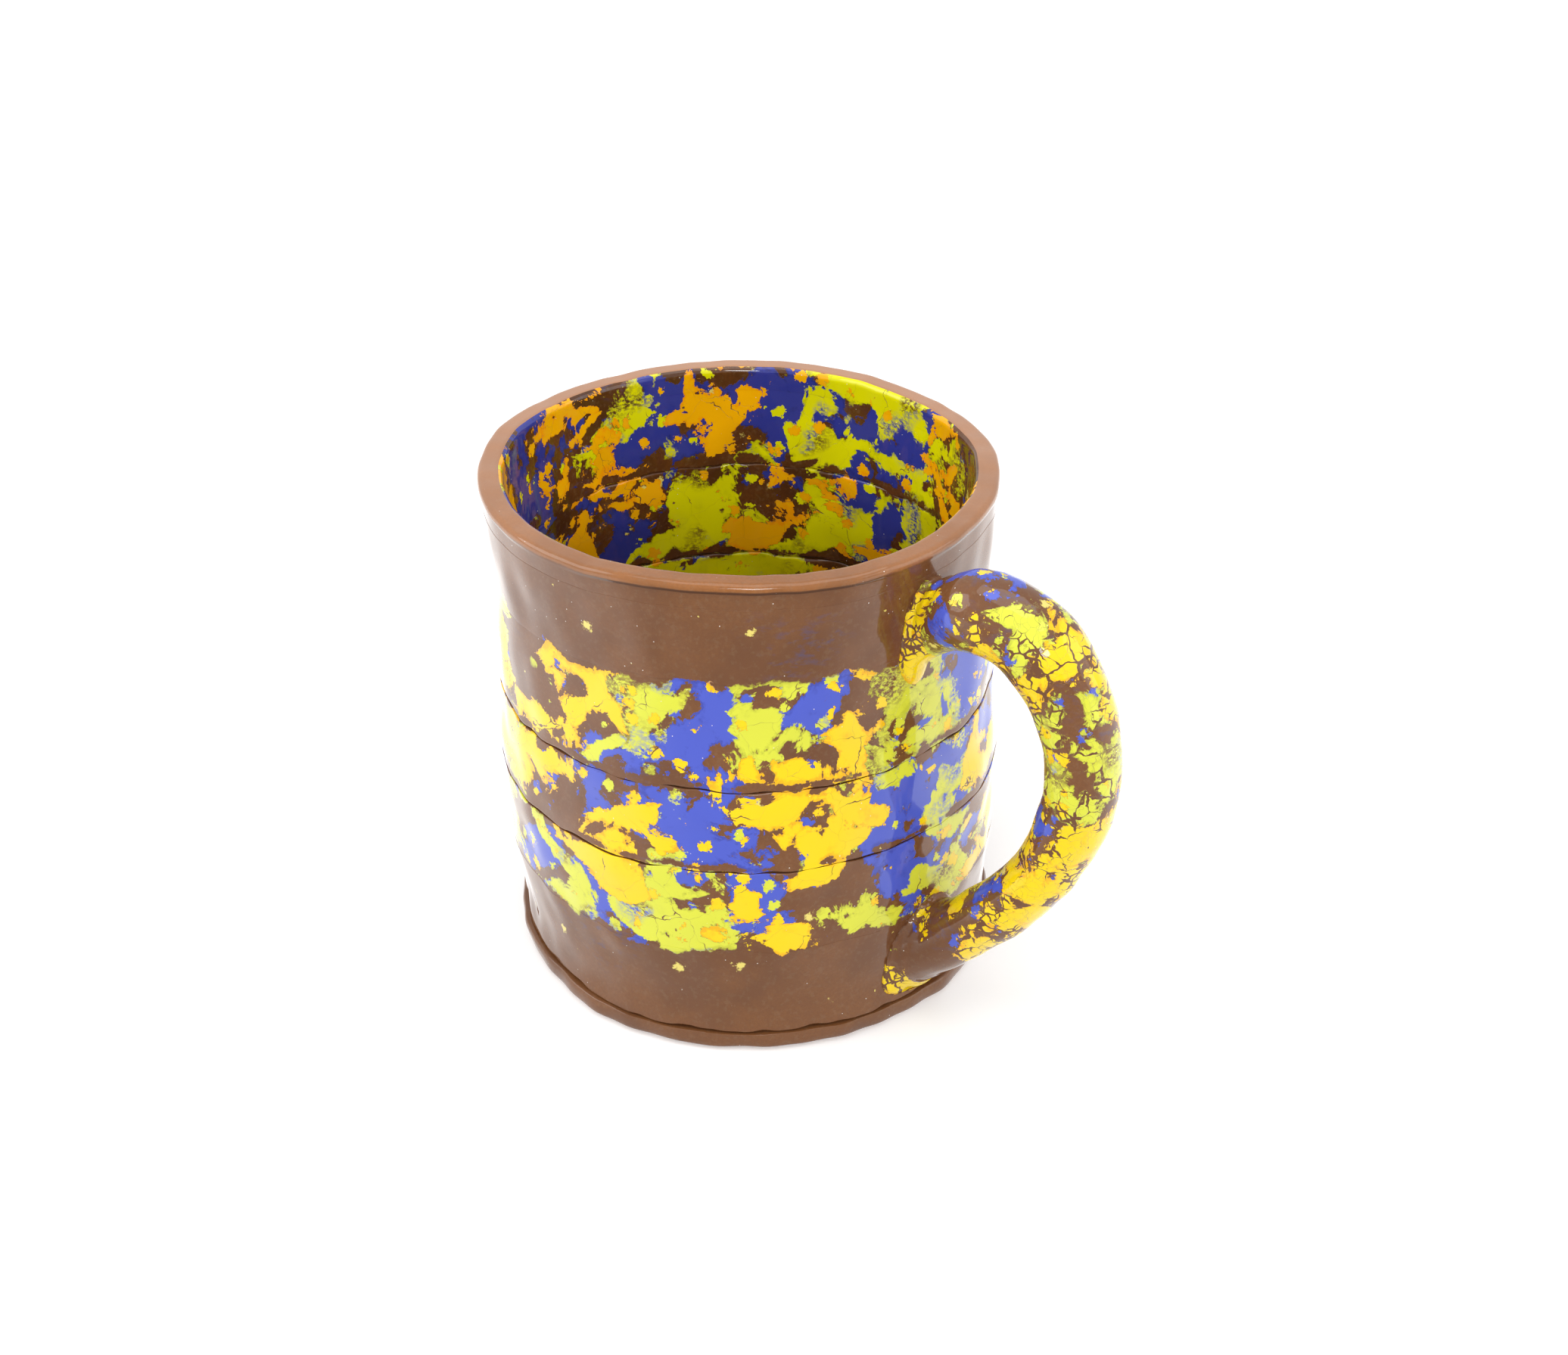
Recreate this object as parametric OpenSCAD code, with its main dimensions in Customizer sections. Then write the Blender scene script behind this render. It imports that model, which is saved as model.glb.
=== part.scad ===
// Hand-built clay mug: strips of clay rolled into rings and stacked on a base slab,
// joined with slip, closed by a rim coil, with a rolled coil handle luted to the wall.
// Millimetres, +Z up, origin at the centre of the underside, handle towards +X.

/* [Base slab] */
// Thickness of the base slab
base_t = 3.9; // [3:0.1:8]
// How far the slab stands out past the foot of the wall
base_overhang = 1.8; // [0.5:0.1:5]
// Rounding of the slab's edges
base_round = 1.3; // [0.4:0.1:1.4]

/* [Wall strips] */
// Thickness of the rolled strips
wall_t = 4; // [3:0.1:6]
// Height of the foot strip
foot_h = 18.9; // [12:0.1:30]
// Height of the lower strip
lower_h = 18.5; // [12:0.1:30]
// Height of the middle strip
middle_h = 16.7; // [12:0.1:30]
// Height of the upper strip
upper_h = 19.4; // [12:0.1:30]
// Height of the collar strip
collar_h = 13; // [8:0.1:24]
// Outer diameter of the wall on the base slab
foot_d = 88.2; // [76:0.2:104]
// How far the belly swells out past the foot
belly_out = 1.95; // [0.5:0.05:5]
// Height of the belly above the table
belly_z = 36; // [30:0.5:50]
// How far the neck under the collar is drawn in from the foot
neck_in = 0.3; // [0:0.05:4]
// How far the collar flares out from the neck up to the rim
collar_flare = 0.8; // [0:0.05:3]

/* [Seams] */
// Thickness of the slip between two pieces
slip_t = 0.4; // [0.2:0.05:1]
// How much lower a seam between two strips lies inside the mug than outside
seam_drop = 1.5; // [0:0.1:3]
// Depth of the groove that is left open along each seam
seam_groove = 0.6; // [0.2:0.05:1]

/* [Rim coil] */
// How far the lip stands out past the collar
lip_out = 0.4; // [0:0.1:4]
// Height of the rim coil
rim_h = 4.2; // [3.6:0.1:8]
// Thickness of the lip
lip_t = 4.1; // [3.6:0.1:6]
// Rounding of the lip's two edges
lip_round = 1.6; // [0.6:0.1:1.7]

/* [Inside corner] */
// Leg of the coil that is pressed into the corner between floor and wall
corner_leg = 4.5; // [3:0.1:8]
// Hollow of the corner coil's face, from a straight slope
corner_hollow = 0.7; // [0.2:0.1:1]

/* [Flakes] */
// Thickness of the coloured flakes that are rolled on the strips
flake_t = 0.3; // [0.2:0.05:0.6]
// Mean width of the flakes along a strip
flake_w = 15; // [11:0.5:24]
// Mean width of the flakes on the handle
coil_flake_w = 9.5; // [7:0.5:14]
// Bare clay between two flakes
flake_gap = 0.8; // [0.5:0.1:2]
// Bare clay between the flakes and a seam's groove
flake_margin = 0.3; // [0.2:0.1:1]
// Film of slip under the flakes on the handle
flake_film = 0.2; // [0.2:0.05:0.4]
// Length of the steps along a torn edge
tear_step = 3; // [2.5:0.1:5]
// Seed of the flakes' shapes and places
flake_seed = 21; // [1:1:200]

/* [Handle coil] */
// Thickness of the coil along its length
coil_d = 11.7; // [9:0.1:16]
// Thickness of the coil where it swells on the upper bend
coil_swell_d = 13.4; // [9:0.1:18]
// Room for fingers between the wall and the coil at its furthest point
finger_gap = 22; // [14:0.1:30]
// How far below the rim the coil's centre line leaves the wall, before it sags
handle_drop = 10; // [8:0.1:24]
// Height above the table at which the coil's centre line comes back to the wall
handle_low_z = 14.6; // [13:0.1:22]
// Height of the furthest point above the lower end
apex_rise = 46.5; // [36:0.5:56]
// Angle round the mug by which both ends are set aside from the furthest point
handle_bow = 6; // [0:0.2:12]
// Pull of the curve straight out from the wall at the upper end
top_pull = 18; // [8:0.5:24]
// Rise of that pull above the upper end
top_lift = 9.3; // [0:0.1:14]
// Pull of the curve above the furthest point
apex_pull_up = 18; // [8:0.5:24]
// Pull of the curve below the furthest point
apex_pull_down = 20; // [8:0.5:26]
// Pull of the curve out from the wall at the lower end
low_pull = 13; // [6:0.2:20]
// Rise of that pull above the lower end
low_rise = 11.2; // [4:0.2:18]

/* [Handle joints] */
// Length of the coil over which its ends change in thickness
root_run = 13; // [6:0.2:16]
// How much the coil's lower end spreads on the wall
low_flare = 1; // [0:0.1:4]
// How much the coil's upper end is drawn out thinner
top_taper = 2.6; // [0:0.1:4]
// How far the upper end sags down the wall
top_sag = 3.8; // [0:0.1:6]
// Width on the wall of the luting coils that are smoothed round the ends
join_w = 2; // [1:0.1:4]
// Height of the luting coils up the handle
join_rise = 2.4; // [1:0.1:5]
// Thickness of the luting coils at their smoothed edges
join_edge = 0.4; // [0.3:0.05:0.8]
// Film of slip between the handle and its luting coils
join_film = 0.15; // [0.15:0.05:0.4]
// Room between the handle joints and the base slab
joint_clear = 0.3; // [0.1:0.05:1]

/* [Hidden] */
$fn = 96;

clay_brown = [0.36, 0.22, 0.14];
clay_rim = [0.46, 0.29, 0.2];
slip_dark = [0.2, 0.11, 0.07];
flake_colours = [[0.93, 0.68, 0.12], [0.75, 0.77, 0.18], [0.22, 0.27, 0.62]];

// Heights and outer radii of the seams, from the base slab up to the rim coil
strip_h = [foot_h, lower_h, middle_h, upper_h, collar_h];
strips = len(strip_h);
function seam_z(j) = j == 0 ? base_t + slip_t / 2 : seam_z(j - 1) + strip_h[j - 1];
foot_r = foot_d / 2;
belly_r = foot_r + belly_out;
neck_r = foot_r - neck_in;
neck_z = seam_z(strips - 1);
mug_h = seam_z(strips) + slip_t / 2 + rim_h;
base_r = foot_r + base_overhang;

// The wall swells in a quarter wave up to the belly, draws in by a half wave up to the neck,
// and flares out along the collar
function profile_r(z) =
    z < belly_z ? foot_r + belly_out * sin(90 * (z - seam_z(0)) / (belly_z - seam_z(0))) :
    z < neck_z ? neck_r + (belly_r - neck_r) * (1 + cos(180 * (z - belly_z) / (neck_z - belly_z))) / 2 :
    neck_r + collar_flare * (z - neck_z) / collar_h;
seam_r = [for (j = [0 : strips]) profile_r(seam_z(j))];

// Only the seams between two strips slope; those on the slab and under the rim lie flat
function drop(j) = j == 0 || j == strips ? 0 : seam_drop;

// Outer radius of the stacked strips at any height
wall_line = [for (j = [0 : strips]) [seam_z(j), seam_r[j]]];
function wall_r(z) = lookup(z, wall_line);

// Outer radius of strip i along its own slope, which may run a little past its seams
function face_r(i, z) = seam_r[i] + (seam_r[i + 1] - seam_r[i]) * (z - seam_z(i)) / strip_h[i];

// Points of a round corner
corner_steps = 6;
function arc(c, r, a0, a1) = [for (k = [0 : corner_steps])
    let (a = a0 + (a1 - a0) * k / corner_steps) c + r * [cos(a), sin(a)]];

// Point of the sloping seam j at radius r, up by dz
function seam_point(j, r, dz) = [r, seam_z(j) + drop(j) * (0.5 - (seam_r[j] - r) / wall_t) + dz];

// Section of strip i with its four edges bevelled, so that the seams stay open as grooves
function strip_section(i) = let (
    up = slip_t / 2,
    g = seam_groove,
    zb = seam_z(i) + drop(i) / 2 + up,
    zt = seam_z(i + 1) + drop(i + 1) / 2 - up,
    ob = face_r(i, zb),
    ot = face_r(i, zt),
    zbi = zb - drop(i) + g,
    zti = zt - drop(i + 1) - g
) [
    seam_point(i, ob - g, up),
    [face_r(i, zb + g), zb + g],
    [face_r(i, zt - g), zt - g],
    seam_point(i + 1, ot - g, -up),
    seam_point(i + 1, ot - wall_t + g, -up),
    [face_r(i, zti) - wall_t, zti],
    [face_r(i, zbi) - wall_t, zbi],
    seam_point(i, ob - wall_t + g, up)
];

module wall_strip(i) {
    rotate_extrude() polygon(strip_section(i));
}

// Everything inside the outer face of the wall and the base slab, which trims the handle's ends
module mug_envelope() {
    slab_r = base_r + joint_clear;
    slab_z = base_t + joint_clear;
    low = -2 * embed;
    rotate_extrude($fn = 240) polygon(concat(
        [[0, low], [slab_r, low], [slab_r, slab_z], [wall_r(slab_z), slab_z]],
        [for (j = [1 : strips]) [seam_r[j], seam_z(j)]],
        [[seam_r[strips], mug_h], [0, mug_h]]
    ));
}

module base_slab() {
    color(clay_brown) rotate_extrude() polygon(concat(
        [[0, 0]],
        arc([base_r - base_round, base_round], base_round, -90, 0),
        arc([base_r - base_round, base_t - base_round], base_round, 0, 90),
        [[0, base_t]]
    ));
}

module foot_strip() {
    color(clay_brown) wall_strip(0);
}

module lower_strip() {
    color(clay_brown) wall_strip(1);
}

module middle_strip() {
    color(clay_brown) wall_strip(2);
}

module upper_strip() {
    color(clay_brown) wall_strip(3);
}

module collar_strip() {
    color(clay_brown) wall_strip(4);
}

// Lip with two round edges, flaring out from the collar
module rim_coil() {
    z0 = seam_z(strips) + slip_t / 2;
    out_r = seam_r[strips];
    in_r = out_r - wall_t;
    lip_r = out_r + lip_out;
    color(clay_rim) rotate_extrude() polygon(concat(
        [[in_r + seam_groove, z0], [out_r - seam_groove, z0], [out_r, z0 + seam_groove]],
        arc([lip_r - lip_round, mug_h - lip_round], lip_round, 0, 90),
        arc([lip_r - lip_t + lip_round, mug_h - lip_round], lip_round, 90, 180),
        [[in_r, z0 + seam_groove]]
    ));
}

// Coil smoothed into the corner between the floor and the foot strip
module corner_coil() {
    z0 = base_t;
    z1 = base_t + slip_t + seam_groove;
    r1 = face_r(0, z1) - wall_t;
    z2 = z0 + corner_leg;
    r2 = face_r(0, z2) - wall_t;
    foot = [r1 - corner_leg, z0];
    top = [r2, z2];
    dip = [1, -1] * corner_hollow;
    color(clay_brown) rotate_extrude() polygon(concat(
        [[r1, z0], [r1, z1], top],
        [for (k = [1 : corner_steps - 1])
            let (s = k / corner_steps) top + s * (foot - top) + dip * sin(180 * s)],
        [foot]
    ));
}

// Thin rings of slip, one in each seam
module slip_seams() {
    up = slip_t / 2;
    color(slip_dark) for (j = [0 : strips]) {
        out_r = seam_r[j] - seam_groove;
        in_r = seam_r[j] - wall_t + seam_groove;
        rotate_extrude() polygon([
            seam_point(j, out_r, -up),
            seam_point(j, out_r, up),
            seam_point(j, in_r, up),
            seam_point(j, in_r, -up)
        ]);
    }
}

// Centre line of the handle, as radius and height: an upper and a lower curve
// that meet upright at the furthest point, and a straight run on into the wall at both ends
top_z = mug_h - handle_drop;
apex_z = handle_low_z + apex_rise;
apex_r = wall_r(apex_z) + finger_gap + coil_d / 2;
top_end = [wall_r(top_z), top_z];
low_end = [wall_r(handle_low_z), handle_low_z];
apex = [apex_r, apex_z];
upper_curve = [top_end, top_end + [top_pull, top_lift], apex + [0, apex_pull_up], apex];
lower_curve = [apex, apex - [0, apex_pull_down], low_end + [low_pull, low_rise], low_end];
function bezier(p, u) = p[0] * (1 - u) ^ 3 + 3 * p[1] * u * (1 - u) ^ 2
    + 3 * p[2] * u ^ 2 * (1 - u) + p[3] * u ^ 3;
function bezier_dir(p, u) = (p[1] - p[0]) * (1 - u) ^ 2
    + 2 * (p[2] - p[1]) * u * (1 - u) + (p[3] - p[2]) * u ^ 2;

// Rings along the coil, numbered 0 to rings, with one more inside the wall at each end
rings = 36;
sides = 20;
embed = coil_swell_d;
function unit(v) = v / norm(v);
function share(k) = min(max(k / rings, 0), 1);
function on_curve(t) = t < 0.5 ? bezier(upper_curve, 2 * t) : bezier(lower_curve, 2 * t - 1);
function along(t) = unit(t < 0.5 ? bezier_dir(upper_curve, 2 * t) : bezier_dir(lower_curve, 2 * t - 1));
function beyond(k) = embed * (min(k, 0) + max(k - rings, 0));

// The coil swells on the upper bend; its upper end is drawn out thin, and its lower end spreads
swell_at = 0.17;
swell_width = 0.3;
function swell(t) = abs(t - swell_at) > swell_width ? 0 :
    (1 + cos(180 * (t - swell_at) / swell_width)) / 2;
function end_gap(t) = norm(on_curve(t) - (t < 0.5 ? top_end : low_end));
function at_end(t) = max(0, 1 - end_gap(t) / root_run) ^ 2;
function sag(t) = t < 0.5 ? top_sag * at_end(t) : 0;
function coil_r(t) = (coil_d + (coil_swell_d - coil_d) * swell(t)) / 2
    + (t < 0.5 ? -top_taper : low_flare) * at_end(t);
function aside(t) = -handle_bow * (1 - sin(180 * t));
function centre(k) = let (t = share(k)) on_curve(t) + beyond(k) * along(t) - [0, sag(t)];

// Point on the coil at ring k and angle a, thickened by extra and set aside round the mug
function coil_point(k, a, extra) = let (
    t = share(k),
    d = along(t),
    r = coil_r(t) + extra,
    q = centre(k) + r * cos(a) * [-d[1], d[0]],
    y = r * sin(a),
    turn = aside(t)
) [q[0] * cos(turn) - y * sin(turn), q[0] * sin(turn) + y * cos(turn), q[1]];
function side_angle(i) = 360 * i / sides;
function coil_ring(k) = [for (i = [0 : sides - 1]) coil_point(k, side_angle(i), 0)];

// Triangles of a skin over n rows of m points each, closed round each row
function skin(n, m) = [for (k = [0 : n - 2], i = [0 : m - 1]) let (
    a = k * m + i,
    b = k * m + (i + 1) % m
) each [[a, b, b + m], [a, b + m, a + m]]];
function cap(p0, flip) = [for (i = [1 : sides - 2])
    flip ? [p0, p0 + i + 1, p0 + i] : [p0, p0 + i, p0 + i + 1]];

module coil_body() {
    n = rings + 3;
    points = [for (k = [-1 : rings + 1]) each coil_ring(k)];
    polyhedron(points, concat(skin(n, sides), cap(0, true), cap((n - 1) * sides, false)), convexity = 6);
}

module handle_coil() {
    color(clay_brown) difference() {
        coil_body();
        mug_envelope();
    }
}

// Ring number at which a line along the coil stands off the wall by rise, between k_in and k_out
search_steps = 18;
function off_wall(p) = norm([p[0], p[1]]) - wall_r(p[2]);
function ring_off(a, extra, rise, k_in, k_out, n = search_steps) = let (k = (k_in + k_out) / 2)
    n == 0 ? k :
    off_wall(coil_point(k, a, extra)) < rise ? ring_off(a, extra, rise, k, k_out, n - 1) :
    ring_off(a, extra, rise, k_in, k, n - 1);

// Hollow section of a luting coil, as pairs of distances off the handle and off the wall,
// sunk a little into the wall so that it can be trimmed to meet it face to face
join_sink = 0.4;
join_section = [
    [join_film, -join_sink],
    [join_w, -join_sink],
    [join_w, join_edge],
    [join_w / 3, join_rise / 3],
    [join_film + join_edge, join_rise],
    [join_film, join_rise],
    [join_film, join_rise / 2]
];
module join_coil(k_in, k_out, flip) {
    m = len(join_section);
    points = [for (i = [0 : sides], q = join_section) let (a = side_angle(flip ? -i : i))
        coil_point(ring_off(a, q[0], q[1], k_in, k_out), a, q[0])];
    count = sides * m;
    faces = [for (f = skin(sides + 1, m)) [f[0] % count, f[1] % count, f[2] % count]];
    difference() {
        polyhedron([for (i = [0 : count - 1]) points[i]], faces, convexity = 8);
        mug_envelope();
    }
}

join_reach = 14;
module upper_join_coil() {
    color(clay_brown) join_coil(-1, join_reach, false);
}

module lower_join_coil() {
    color(clay_brown) join_coil(rings + 1, rings - join_reach, true);
}

// Room round an end of the handle, which the flakes on the wall keep clear of
module joint_room(t) {
    end = t < 0.5 ? top_end - [0, top_sag] : low_end;
    d = along(t);
    rotate([0, 0, aside(t)])
        translate([end[0], 0, end[1]])
            rotate([0, 90 - atan2(d[1], d[0]), 0])
                cylinder(r = coil_r(t) + join_w + joint_clear, h = 4 * embed, center = true);
}

// Seeds of the flakes on one face of strip i, in two loose rows on the unrolled face,
// as distance round the mug and height, each moved about by a share of its own room
rows = 2;
scatter = 0.4;
function face_low(i, inside) = inside && i == 0 ? base_t + corner_leg + flake_margin :
    seam_z(i) + slip_t + seam_groove + flake_margin + drop(i) * (inside ? -0.5 : 0.5);
function face_high(i, inside) =
    seam_z(i + 1) - slip_t - seam_groove - flake_margin + drop(i + 1) * (inside ? -0.5 : 0.5);
function flake_r(i, inside) = face_r(i, (face_low(i, inside) + face_high(i, inside)) / 2)
    - (inside ? wall_t + flake_t : 0);
function total(v) = v * [for (x = v) 1];
function face_mark(i, inside) = flake_seed + 20 * i + (inside ? 10 : 0);
function flake_seeds(i, inside) = let (
    round_mug = 2 * PI * flake_r(i, inside),
    columns = round(round_mug / flake_w),
    step = round_mug / columns,
    z0 = face_low(i, inside),
    row_h = (face_high(i, inside) - z0) / rows,
    mark = face_mark(i, inside),
    du = rands(-scatter, scatter, columns * rows, mark),
    dz = rands(-scatter, scatter, columns * rows, mark + 1)
) [for (row = [0 : rows - 1], k = [0 : columns - 1]) let (n = row * columns + k)
    [(k + row / rows + du[n]) * step, z0 + (row + 0.5 + dz[n]) * row_h]];

// Part of a polygon on the near side of the line where n * p is c
function clip(poly, n, c) = [for (i = [0 : len(poly) - 1]) let (
    a = poly[i],
    b = poly[(i + 1) % len(poly)],
    da = n * a - c,
    db = n * b - c
) each concat(da <= 0 ? [a] : [], da * db < 0 ? [a + (b - a) * da / (da - db)] : [])];

// Furthest that a cell may reach from its seed, in widths of a flake
cell_reach = 1.5;

// Cell round point p, cut by the lines half way to its neighbours less half a gap
function cell(p, near, poly, k = 0) = k == len(near) ? poly : let (
    v = near[k] - p
) cell(p, near, clip(poly, v, v * (p + near[k]) / 2 - norm(v) * flake_gap / 2), k + 1);

// Cell's outline drawn in by random amounts towards p, as if torn
tear_depth = 0.2;
function torn(p, poly, mark) = let (
    line = [for (i = [0 : len(poly) - 1]) let (
        a = poly[i],
        b = poly[(i + 1) % len(poly)],
        n = ceil(norm(b - a) / tear_step)
    ) each [for (j = [0 : n - 1]) a + (b - a) * j / n]],
    pull = rands(0, tear_depth, len(line), mark)
) [for (i = [0 : len(line) - 1]) (line[i] - p) * (1 - pull[i])];

// Flakes of one face: each is [angle round the mug, height, outline, share that picks its colour]
function flakes(i, inside) = let (
    r = flake_r(i, inside),
    round_mug = 2 * PI * r,
    seeds = flake_seeds(i, inside),
    reach = cell_reach * flake_w,
    mark = face_mark(i, inside),
    pick = rands(0, 1, len(seeds), mark + 2)
) [for (n = [0 : len(seeds) - 1]) let (
    p = seeds[n],
    near = [for (m = [0 : len(seeds) - 1], turn = [-round_mug, 0, round_mug])
        let (q = seeds[m] + [turn, 0]) if (q != p && abs(q[0] - p[0]) < 2 * reach) q],
    frame = [
        [p[0] - reach, face_low(i, inside)],
        [p[0] + reach, face_low(i, inside)],
        [p[0] + reach, face_high(i, inside)],
        [p[0] - reach, face_high(i, inside)]
    ]
) [p[0] / r * 180 / PI, p[1], torn(p, cell(p, near, frame), mark * 100 + n), pick[n]]];

// Shares of the cells that are gold, up to lime, and up to blue; the last few stay bare clay
flake_shares = [0.36, 0.64, 0.9];
coil_shares = [0.42, 0.7, 0.78];
function picked(u, colour, shares) = u < shares[colour] && (colour == 0 || u >= shares[colour - 1]);

// Thin skin on one face of strip i, from which the flakes are cut
module face_skin(i, inside) {
    z0 = seam_z(i) - seam_drop;
    z1 = seam_z(i + 1) + seam_drop;
    in_r = inside ? -wall_t - flake_t : 0;
    out_r = in_r + flake_t;
    rotate_extrude() polygon([
        [face_r(i, z0) + in_r, z0],
        [face_r(i, z0) + out_r, z0],
        [face_r(i, z1) + out_r, z1],
        [face_r(i, z1) + in_r, z1]
    ]);
}

// Flakes of one colour on one face of strip i, cut out of its skin by prisms that point outwards
module strip_flakes(i, inside, colour) {
    intersection() {
        face_skin(i, inside);
        union() for (f = flakes(i, inside)) if (picked(f[3], colour, flake_shares))
            rotate([0, 0, f[0]])
                translate([flake_r(i, inside), 0, f[1]])
                    rotate([90, 0, 90]) linear_extrude(2 * flake_w, center = true) polygon(f[2]);
    }
}

// Flakes on the handle: cells on the unrolled coil between the luting coils,
// as distance along the coil and round it
coil_girth = PI * coil_d;
coil_len = total([for (k = [0 : rings - 1]) norm(centre(k + 1) - centre(k))]);
first_ring = max([for (i = [0 : sides - 1])
    ring_off(side_angle(i), flake_t, join_rise + flake_margin, -1, join_reach)]);
last_ring = min([for (i = [0 : sides - 1])
    ring_off(side_angle(i), flake_t, join_rise + flake_margin, rings + 1, rings - join_reach)]);
coil_low = first_ring / rings * coil_len;
coil_high = last_ring / rings * coil_len;
handle_mark = face_mark(strips, false);
coil_columns = round((coil_high - coil_low) / coil_flake_w);
coil_rows = round(coil_girth / coil_flake_w);
coil_cells = coil_columns * coil_rows;
coil_du = rands(-scatter, scatter, coil_cells, handle_mark);
coil_dv = rands(-scatter, scatter, coil_cells, handle_mark + 1);
coil_pick = rands(0, 1, coil_cells, handle_mark + 2);
coil_seeds = [for (k = [0 : coil_columns - 1], row = [0 : coil_rows - 1]) let (n = k * coil_rows + row) [
    coil_low + (k + 0.5 + coil_du[n]) * (coil_high - coil_low) / coil_columns,
    (row + k % 2 / 2 + coil_dv[n]) * coil_girth / coil_rows
]];
function coil_cell(n) = let (
    p = coil_seeds[n],
    reach = cell_reach * coil_flake_w,
    near = [for (m = [0 : len(coil_seeds) - 1], turn = [-coil_girth, 0, coil_girth])
        let (q = coil_seeds[m] + [0, turn]) if (q != p && norm(q - p) < 2 * reach) q],
    low = max(coil_low, p[0] - reach),
    high = min(coil_high, p[0] + reach),
    frame = [[low, p[1] - reach], [high, p[1] - reach], [high, p[1] + reach], [low, p[1] + reach]]
) torn(p, cell(p, near, frame), handle_mark * 100 + n);
function on_coil(q, extra) = coil_point(q[0] / coil_len * rings, q[1] / coil_girth * 360, extra);

// One flake bent round the coil: two rings of points round its middle, on its outer and inner faces
module coil_flake(n) {
    p = coil_seeds[n];
    line = coil_cell(n);
    m = len(line);
    rim = [for (f = [0.5, 1], q = line) p + f * q];
    face = concat([p], rim);
    c = len(face);
    points = concat(
        [for (q = face) on_coil(q, flake_film + flake_t)],
        [for (q = face) on_coil(q, flake_film)]
    );
    outer = [for (j = [0 : m - 1]) let (a = 1 + j, b = 1 + (j + 1) % m)
        each [[0, b, a], [a, b, b + m], [a, b + m, a + m]]];
    inner = [for (f = outer) [f[0] + c, f[2] + c, f[1] + c]];
    edge = [for (j = [0 : m - 1]) let (a = 1 + m + j, b = 1 + m + (j + 1) % m)
        each [[a, b, b + c], [a, b + c, a + c]]];
    polyhedron(points, concat(outer, inner, edge), convexity = 4);
}

module handle_flakes(colour) {
    color(flake_colours[colour]) for (n = [0 : len(coil_seeds) - 1])
        if (picked(coil_pick[n], colour, coil_shares)) coil_flake(n);
}

module wall_flakes(i, colour) {
    color(flake_colours[colour]) difference() {
        strip_flakes(i, false, colour);
        joint_room(0);
        joint_room(1);
    }
}

module lining_flakes(colour) {
    color(flake_colours[colour]) for (i = [0 : strips - 1]) strip_flakes(i, true, colour);
}

module lower_gold_flakes() {
    wall_flakes(1, 0);
}

module lower_lime_flakes() {
    wall_flakes(1, 1);
}

module lower_blue_flakes() {
    wall_flakes(1, 2);
}

module middle_gold_flakes() {
    wall_flakes(2, 0);
}

module middle_lime_flakes() {
    wall_flakes(2, 1);
}

module middle_blue_flakes() {
    wall_flakes(2, 2);
}

module upper_gold_flakes() {
    wall_flakes(3, 0);
}

module upper_lime_flakes() {
    wall_flakes(3, 1);
}

module upper_blue_flakes() {
    wall_flakes(3, 2);
}

module lining_gold_flakes() {
    lining_flakes(0);
}

module lining_lime_flakes() {
    lining_flakes(1);
}

module lining_blue_flakes() {
    lining_flakes(2);
}

module handle_gold_flakes() {
    handle_flakes(0);
}

module handle_lime_flakes() {
    handle_flakes(1);
}

module handle_blue_flakes() {
    handle_flakes(2);
}

base_slab();
foot_strip();
lower_strip();
middle_strip();
upper_strip();
collar_strip();
rim_coil();
corner_coil();
slip_seams();
handle_coil();
upper_join_coil();
lower_join_coil();
lower_gold_flakes();
lower_lime_flakes();
lower_blue_flakes();
middle_gold_flakes();
middle_lime_flakes();
middle_blue_flakes();
upper_gold_flakes();
upper_lime_flakes();
upper_blue_flakes();
lining_gold_flakes();
lining_lime_flakes();
lining_blue_flakes();
handle_gold_flakes();
handle_lime_flakes();
handle_blue_flakes();
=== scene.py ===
import math
import bpy
import numpy as np
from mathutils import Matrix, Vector
from mathutils.bvhtree import BVHTree


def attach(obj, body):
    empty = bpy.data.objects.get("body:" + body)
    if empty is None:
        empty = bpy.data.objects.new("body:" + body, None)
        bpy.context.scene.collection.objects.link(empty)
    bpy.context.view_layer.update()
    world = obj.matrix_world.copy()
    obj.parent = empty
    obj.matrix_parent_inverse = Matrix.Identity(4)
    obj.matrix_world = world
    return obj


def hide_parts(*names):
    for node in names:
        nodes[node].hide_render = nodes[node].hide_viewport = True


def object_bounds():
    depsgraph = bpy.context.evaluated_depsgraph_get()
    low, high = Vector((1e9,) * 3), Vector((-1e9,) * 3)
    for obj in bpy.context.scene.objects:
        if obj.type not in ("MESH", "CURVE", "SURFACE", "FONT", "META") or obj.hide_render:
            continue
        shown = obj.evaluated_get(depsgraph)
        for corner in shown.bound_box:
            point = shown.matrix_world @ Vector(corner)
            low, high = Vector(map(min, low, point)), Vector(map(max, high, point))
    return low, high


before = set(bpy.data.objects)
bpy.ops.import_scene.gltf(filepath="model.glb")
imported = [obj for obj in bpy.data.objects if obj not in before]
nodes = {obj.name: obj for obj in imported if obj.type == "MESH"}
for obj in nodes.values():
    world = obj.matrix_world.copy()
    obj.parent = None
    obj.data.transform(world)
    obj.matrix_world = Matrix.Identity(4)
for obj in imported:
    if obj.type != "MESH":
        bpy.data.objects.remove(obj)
cadLow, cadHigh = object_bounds()
mm = 0.001
print("frame loaded:", len(nodes), "solids")

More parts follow.
